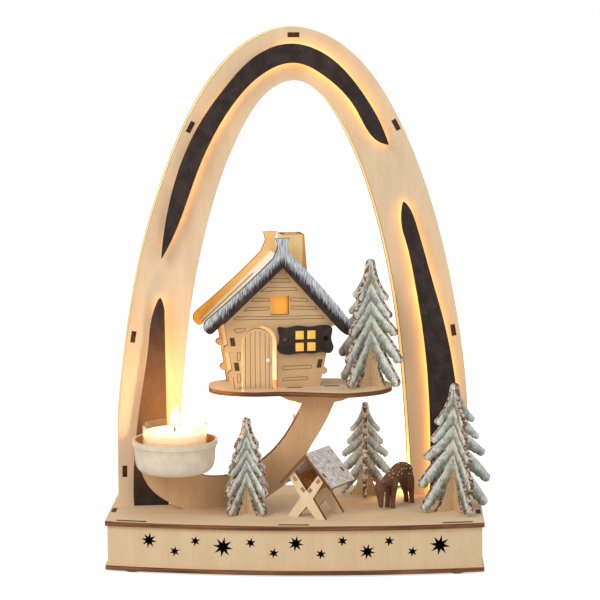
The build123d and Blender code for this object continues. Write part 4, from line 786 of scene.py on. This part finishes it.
# painted warm light: the rear verge board turns orange low down and glows a little all over
verge_foot = 34.0
verge_head = 82.0
low_share = spread(verge_net, up, verge_foot, verge_head, 1.0, 0.0)
warm = blended(verge_net, low_share, wood, linear(240, 168, 62))
feed(verge_net, verge_shader.inputs["Base Color"], blended(verge_net, mask, linear(146, 88, 40), warm))
verge_shader.inputs["Emission Color"].default_value = linear(255, 190, 90)
verge_shader.inputs["Emission Strength"].default_value = 0.12
dress(painted_glow_verge, "rear_verge_board")
roof_run = 30.0


def snowy_roof(name, side):
    """A roof board with thin snow brushed down from the ridge over pale wood."""
    material, net, shader = new_material(name, 0.65)
    across, up, back, _ = house_axes(net)
    down = calc(net, "MULTIPLY", calc(net, "SUBTRACT", across, roof_ridge), side)
    strokes = brushed(net, back, 0.8, down, 9.0, 4.0, 0.6)
    reach = calc(net, "ADD", calc(net, "DIVIDE", down, roof_run), calc(net, "SUBTRACT", strokes, 0.5))
    snow = spread(net, reach, 0.25, 0.8, 1.0, 0.0)
    wood, _ = wood_colour(net, down, back, up, linear(248, 230, 190), linear(224, 192, 140))
    # painted shadow: a dark line over the rear wall, the rear verge board's shadow
    painted_shadow_line = spread(net, calc(net, "ABSOLUTE", calc(net, "SUBTRACT", back, roof_shadow_back)), 0.9, 1.5, 1.0, 0.0)
    painted_shadow_line = calc(net, "MULTIPLY", painted_shadow_line, spread(net, down, 12.0, 13.5))
    board = blended(net, snow, wood, linear(252, 246, 228))
    feed(net, shader.inputs["Base Color"], blended(net, painted_shadow_line, board, burnt_dark))
    bumped(net, shader, snow, strength=0.3, distance=0.0004)
    return material


dress(snowy_roof("snowy_left_board", -1.0), "roof_left_board")
dress(snowy_roof("snowy_right_board", 1.0), "roof_right_board")
chimney_wood, chimney_net, chimney_shader = new_material("chimney_wood", 0.62)
across, up, back, _ = house_axes(chimney_net)
wood, streaks = wood_colour(chimney_net, up, across, back, linear(246, 214, 158), linear(224, 180, 118))
to_right = one_side(chimney_net, house_side)
to_top = one_side(chimney_net, (0, 0, 1))
chimney = nodes["chimney"]
chimney_end = max(house_side.dot(chimney.matrix_world @ v.co) for v in chimney.data.vertices) / MM
chimney_end -= house_side.dot(Vector((house_x, house_y, 0)))
seam = spread(chimney_net, across, chimney_end - 4.2, chimney_end - 3.2)
wood = blended(chimney_net, seam, wood, linear(214, 150, 80))
# painted shade: faces turned to the right are painted a darker orange-brown
painted_shade_sides = blended(chimney_net, to_right, wood, linear(176, 112, 56))
feed(chimney_net, chimney_shader.inputs["Base Color"],
     blended(chimney_net, to_top, painted_shade_sides, edge_colour(chimney_net, across, up, back)))
bumped(chimney_net, chimney_shader, streaks, strength=0.2, distance=0.0002)
dress(chimney_wood, "chimney")


# Door, window and attic
# A plank door with a white knob that stands ajar, a dark stained shutter board with hearts round a lit
# window, and a lit attic pane. A small lamp below the house lights them, and its pale lead runs down.

door_face = linear(208, 178, 136)
door_dark = linear(180, 146, 106)
dress(birch_sheet("door_wood", (0, 1, 0), (0, 0, 1), door_face, door_dark), "house_door")
hinge_across = 4.577
door_hinge = on_house(hinge_across, 0.0)
door_width = 17.4
door_height = 36.4
door_points = []
door_edges = []
plank_seams = (1.6, 4.4, 7.35, 10.2, 13.3, 15.6)
seam_foot = 0.6
seam_head = 1.3
half = door_width / 2
for place in plank_seams:
    crown = door_height - half + (half ** 2 - (place - half) ** 2) ** 0.5 - seam_head
    first = len(door_points)
    for k in range(line_steps + 1):
        level = seam_foot + (crown - seam_foot) * k / line_steps
        door_points.append(door_hinge + Vector((place, 0.0, level)) * MM)
    door_edges += [(first + k, first + k + 1) for k in range(line_steps)]
door_lines = bpy.data.meshes.new("door_lines")
door_lines.from_pydata([tuple(p) for p in door_points], door_edges, [])
grown("house_door_engraving", door_lines, engraving, {"Radius": 0.15 * MM, "Wave": 0.0}, "stand",
      engraved)
dress(plain("knob_paint", linear(244, 240, 232), roughness=0.35, spot_size=0.4, spot_shade=0.95), "door_knob")
dress(stained_sheet("charcoal_shutter", house_facing, (1, 0, 0)), "window_shutters")
dress(glowing("lit_window", linear(255, 205, 105), linear(255, 190, 84), strength=0.85), "window_panes")
dress(glowing("lit_attic", linear(216, 144, 50), linear(252, 172, 50), strength=0.4), "attic_pane")
dress(glowing("house_lamp", linear(255, 226, 150), lamp_glow, strength=12.0), "house_light")
dress(plain("lead_sheath", linear(224, 218, 204), roughness=0.5, spot_size=0.5, spot_shade=0.94),
      "house_light_lead")
house_glow = on_house(across=6.0, up=13.0, ahead=-12.0) / MM
point_light("house_glow", house_glow, radius=2.0, power=0.02, colour=(1.0, 0.8, 0.5))


# Trees
# Each tree is two plywood plates lapped across each other, painted with strokes that hang from every
# tier: white at the upper edge, grey-green below, and bare wood between the tiers at the trunk.

# upper edge of each tier from trunk to tip, in shares of the tree's half width and height
tree_tier_lines = (
    ((0.12, 0.965), (0.5, 0.735)), ((0.2, 0.752), (0.62, 0.6)), ((0.22, 0.622), (0.8, 0.47)),
    ((0.25, 0.495), (0.95, 0.27)), ((0.27, 0.345), (0.88, 0.085)),
)
# height and half width
large_tree = (76.0, 23.2)
small_tree = (57.0, 16.6)
# paint of a large tree: unevenness of strokes and patches, where the white ends and where bare wood
# shows below a tier's edge, and how soon the wood gives way to paint towards the tips
stroke_depth = 20.0
patch_depth = 7.0
white_ends = (1.4, 4.8)
wood_begins = (3.4, 4.8)
wood_taper = 0.45
stroke_lean = radians(24.0)
# keeps the strokes of a plate's two halves unlike
halves_apart = 40.0
far_below = 99.0


def tree_paint(name, place, yaw, size):
    """Painted plate of a tree that stands at a place, in millimetres, turned by a yaw in degrees."""
    height, half_width = size
    scale = height / large_tree[0]
    turn = radians(yaw)
    side = Vector((cos(turn), sin(turn), 0))
    facing = Vector((sin(turn), -cos(turn), 0))
    material, net, shader = new_material(name, 0.75)
    spot = object_place(net)
    across = from_point(net, spot, side, place)
    out = calc(net, "ABSOLUTE", across)
    up = from_point(net, spot, (0, 0, 1), place)
    depth = along(net, spot, facing / MM)
    # distance below the nearest tier's upper edge
    below = far_below
    for (start_x, start_z), (end_x, end_z) in tree_tier_lines:
        run = Vector(((end_x - start_x) * half_width, (end_z - start_z) * height)).normalized()
        gap = calc(net, "ADD", calc(net, "MULTIPLY", out, run.y), calc(net, "MULTIPLY", up, -run.x))
        gap = calc(net, "SUBTRACT", gap, start_x * half_width * run.y - start_z * height * run.x)
        outside = calc(net, "MULTIPLY", calc(net, "LESS_THAN", gap, -0.6), far_below)
        below = calc(net, "MINIMUM", below, calc(net, "ADD", gap, outside))
    lean_cos = cos(stroke_lean)
    lean_sin = sin(stroke_lean)
    hang = calc(net, "ADD", calc(net, "MULTIPLY", out, -lean_sin), calc(net, "MULTIPLY", up, -lean_cos))
    edge_run = calc(net, "ADD", calc(net, "MULTIPLY", out, lean_cos), calc(net, "MULTIPLY", up, -lean_sin))
    signed_run = calc(net, "ADD", edge_run, calc(net, "MULTIPLY", calc(net, "SIGN", across), halves_apart))
    strokes = brushed(net, signed_run, 0.42, hang, 6.0, 3.0, 0.6)
    patches = noise(net, gathered(net, across, up, 0.0), 0.22, 2.0)
    uneven = calc(net, "MULTIPLY", calc(net, "SUBTRACT", strokes, 0.5), stroke_depth * scale)
    patchy = calc(net, "MULTIPLY", calc(net, "SUBTRACT", patches, 0.5), patch_depth * scale)
    reach = calc(net, "ADD", below, calc(net, "ADD", uneven, patchy))
    green = blended(net, spread(net, strokes, 0.38, 0.62), linear(56, 66, 50), linear(128, 138, 122))
    pale = blended(net, spread(net, strokes, 0.32, 0.56), linear(146, 155, 148), linear(240, 240, 233))
    paint = blended(net, spread(net, reach, *(depth * scale for depth in white_ends)), pale, green)
    wood = blended(net, spread(net, strokes, 0.3, 0.7), linear(190, 158, 118), linear(214, 186, 146))
    bare = calc(net, "SUBTRACT", reach, calc(net, "MULTIPLY", out, wood_taper))
    face = blended(net, spread(net, bare, *(depth * scale for depth in wood_begins)), paint, wood)
    soot = noise(net, gathered(net, across, up, depth), 0.6, 3.0)
    flecks = noise(net, gathered(net, across, up, calc(net, "MULTIPLY", depth, 1.2)), 0.5, 2.0)
    edge = blended(net, spread(net, soot, 0.4, 0.65), linear(128, 92, 66), linear(72, 48, 34))
    edge = blended(net, spread(net, flecks, 0.42, 0.62), edge, linear(206, 196, 182))
    feed(net, shader.inputs["Base Color"], blended(net, one_side(net, facing, both=True), edge, face))
    bumped(net, shader, strokes, strength=0.25, distance=0.0002)
    return material


# name, place on the box or platform, turn in degrees, size
trees = (
    ("platform_tree", (43.9, 15.1, platform_top), -37.6, large_tree),
    ("front_left_tree", (-28.5, -20.3, base_top), -43.0, small_tree),
    ("rear_centre_tree", (40.7, 29.2, base_top), 0.0, small_tree),
    ("front_right_tree", (93.5, -11.3, base_top), 25.0, large_tree),
)
for name, (x, y, z), yaw, size in trees:
    place = (base_centre_x + x, y, z)
    dress(tree_paint(f"{name}_paint_a", place, yaw, size), f"{name}_plate_a")
    dress(tree_paint(f"{name}_paint_b", place, yaw + 90.0, size), f"{name}_plate_b")


# Hay rack
# Two pairs of crossed legs of thin pale plywood, joined by tenons to a slatted trough of brown boards
# and a small pitched roof. The roof is coated with grey snow and grains of glitter.

rack_yaw = radians(-28.0)
rack_facing = Vector((sin(rack_yaw), -cos(rack_yaw), 0))
rack_side = Vector((cos(rack_yaw), sin(rack_yaw), 0))
rack_slope = radians(47.0)
dress(birch_sheet("rack_legs", rack_facing, (0, 0, 1), linear(236, 214, 178), linear(204, 172, 130)),
      "hay_rack_front_legs", "hay_rack_rear_legs")
dress(plain("rack_slats", linear(186, 132, 86), roughness=0.8, spot_size=2.5, spot_shade=0.72),
      "hay_rack_left_trough_board", "hay_rack_right_trough_board")


def glitter_roof(name, side):
    """Brown board under grey snow with white glitter, bare at its edges."""
    material, net, shader = new_material(name, 0.55)
    facing = rack_side * side * sin(rack_slope) + Vector((0, 0, cos(rack_slope)))
    run, across, deep, mask = sheet_axes(net, facing, rack_facing)
    place = gathered(net, run, across, deep)
    clouds = noise(net, place, 0.35, 4.0, 0.65)
    grains = noise(net, place, 2.2, 3.0, 0.7)
    base = blended(net, spread(net, clouds, 0.35, 0.65), linear(146, 132, 116), linear(206, 204, 198))
    snow = blended(net, spread(net, grains, 0.5, 0.6), base, linear(250, 250, 248))
    feed(net, shader.inputs["Base Color"], blended(net, mask, edge_colour(net, run, across, deep), snow))
    bumped(net, shader, grains, strength=0.6, distance=0.0005)
    return material


dress(glitter_roof("glitter_left_board", -1.0), "hay_rack_left_roof_board")
dress(glitter_roof("glitter_right_board", 1.0), "hay_rack_right_roof_board")


# Deer
# A small grazing deer of wood, turned and stained brown, with white dots along its back. It is glued
# to the box.

deer_height = 25.8
dotted_from = 0.66
deer_stain = plain("deer_stain", linear(118, 84, 60), roughness=0.75, spot_size=2.5, spot_shade=0.7, bump=0.3)
deer_copy = bpy.data.objects.new("deer_copy", nodes["deer"].data.copy())
bpy.context.scene.collection.objects.link(deer_copy)
deer_copy.matrix_world = nodes["deer"].matrix_world
bm = bmesh.new()
bm.from_mesh(deer_copy.data)
bmesh.ops.remove_doubles(bm, verts=bm.verts, dist=0.01 * MM)
bm.to_mesh(deer_copy.data)
bm.free()
remesh = deer_copy.modifiers.new("one_skin", "REMESH")
remesh.mode = "VOXEL"
remesh.voxel_size = 0.35 * MM
soften = deer_copy.modifiers.new("soften", "SMOOTH")
soften.factor = 0.5
soften.iterations = 5
ready_deer = deer_copy.evaluated_get(bpy.context.evaluated_depsgraph_get())
deer_mesh = bpy.data.meshes.new_from_object(ready_deer)
deer_mesh.transform(deer_copy.matrix_world)
for polygon in deer_mesh.polygons:
    polygon.use_smooth = True
bpy.data.objects.remove(deer_copy)
deer_skin = add_piece("deer_skin", deer_mesh, deer_stain, "stand")
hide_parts("deer")

dots, given, result = node_group("scattered_grains", (
    ("Density", "NodeSocketFloat", 100000.0), ("Spacing", "NodeSocketFloat", 0.5 * MM),
    ("Grain Radius", "NodeSocketFloat", 0.3 * MM), ("Least Rise", "NodeSocketFloat", 0.35),
    ("Least Height", "NodeSocketFloat", 0.0), ("Seed", "NodeSocketInt", 3),
    ("Material", "NodeSocketMaterial", None),
))
turned = add_node(dots, "GeometryNodeInputNormal").outputs[0]
placed = add_node(dots, "GeometryNodeInputPosition").outputs[0]
rise = add_node(dots, "ShaderNodeSeparateXYZ", {0: turned}).outputs["Z"]
height = add_node(dots, "ShaderNodeSeparateXYZ", {0: placed}).outputs["Z"]
chosen = calc(
    dots, "MULTIPLY", calc(dots, "GREATER_THAN", rise, given["Least Rise"]),
    calc(dots, "GREATER_THAN", height, given["Least Height"]),
)
scattered = add_node(dots, "GeometryNodeDistributePointsOnFaces", {
    "Mesh": given["Mesh"], "Selection": chosen, "Distance Min": given["Spacing"],
    "Density Max": given["Density"], "Seed": given["Seed"],
}, distribute_method="POISSON")
grain = add_node(dots, "GeometryNodeMeshIcoSphere", {"Subdivisions": 1, "Radius": given["Grain Radius"]})
sized = add_node(dots, "FunctionNodeRandomValue", {2: 0.5, 3: 1.0, "Seed": given["Seed"]}, data_type="FLOAT")
instanced = add_node(dots, "GeometryNodeInstanceOnPoints", {
    "Points": scattered.outputs["Points"], "Instance": grain.outputs["Mesh"], "Scale": sized.outputs[1],
})
finish_group(dots, given, result, instanced.outputs[0])

white_dots = plain("white_dots", linear(236, 228, 216), roughness=0.8, spot_size=0.5, spot_shade=0.92)
deer_values = {
    "Density": 260000.0, "Spacing": 2.0 * MM, "Grain Radius": 0.5 * MM, "Least Rise": 0.0,
    "Least Height": (base_top + dotted_from * deer_height) * MM, "Seed": 5,
}
grown("deer_dots", deer_mesh.copy(), dots, deer_values, "stand", white_dots)

glitter = plain("glitter", linear(250, 250, 248), roughness=0.25, spot_size=0.3, spot_shade=0.86)
glitter_values = {
    "Density": 900000.0, "Spacing": 0.5 * MM, "Grain Radius": 0.2 * MM, "Least Rise": 0.5,
    "Least Height": 0.0, "Seed": 11,
}
for name in ("left", "right"):
    roof_board = nodes[f"hay_rack_{name}_roof_board"]
    roof_mesh = roof_board.data.copy()
    roof_mesh.transform(roof_board.matrix_world)
    grown(f"hay_rack_{name}_glitter", roof_mesh, dots, glitter_values, "stand", glitter)


# Battery case and switch
# A case of black moulded plastic in the back wall holds two bare cells behind a hinged door. A slide
# switch of the same plastic sits beside it.

dress(plain("case_plastic", linear(46, 46, 47), roughness=0.55, spot_size=0.4, spot_shade=0.85, bump=0.2),
      "battery_case", "battery_door", "switch_body", "switch_slider")
dress(plain("cell_jacket", linear(150, 154, 156), roughness=0.4, spot_size=1.5, spot_shade=0.9),
      "battery_cells")
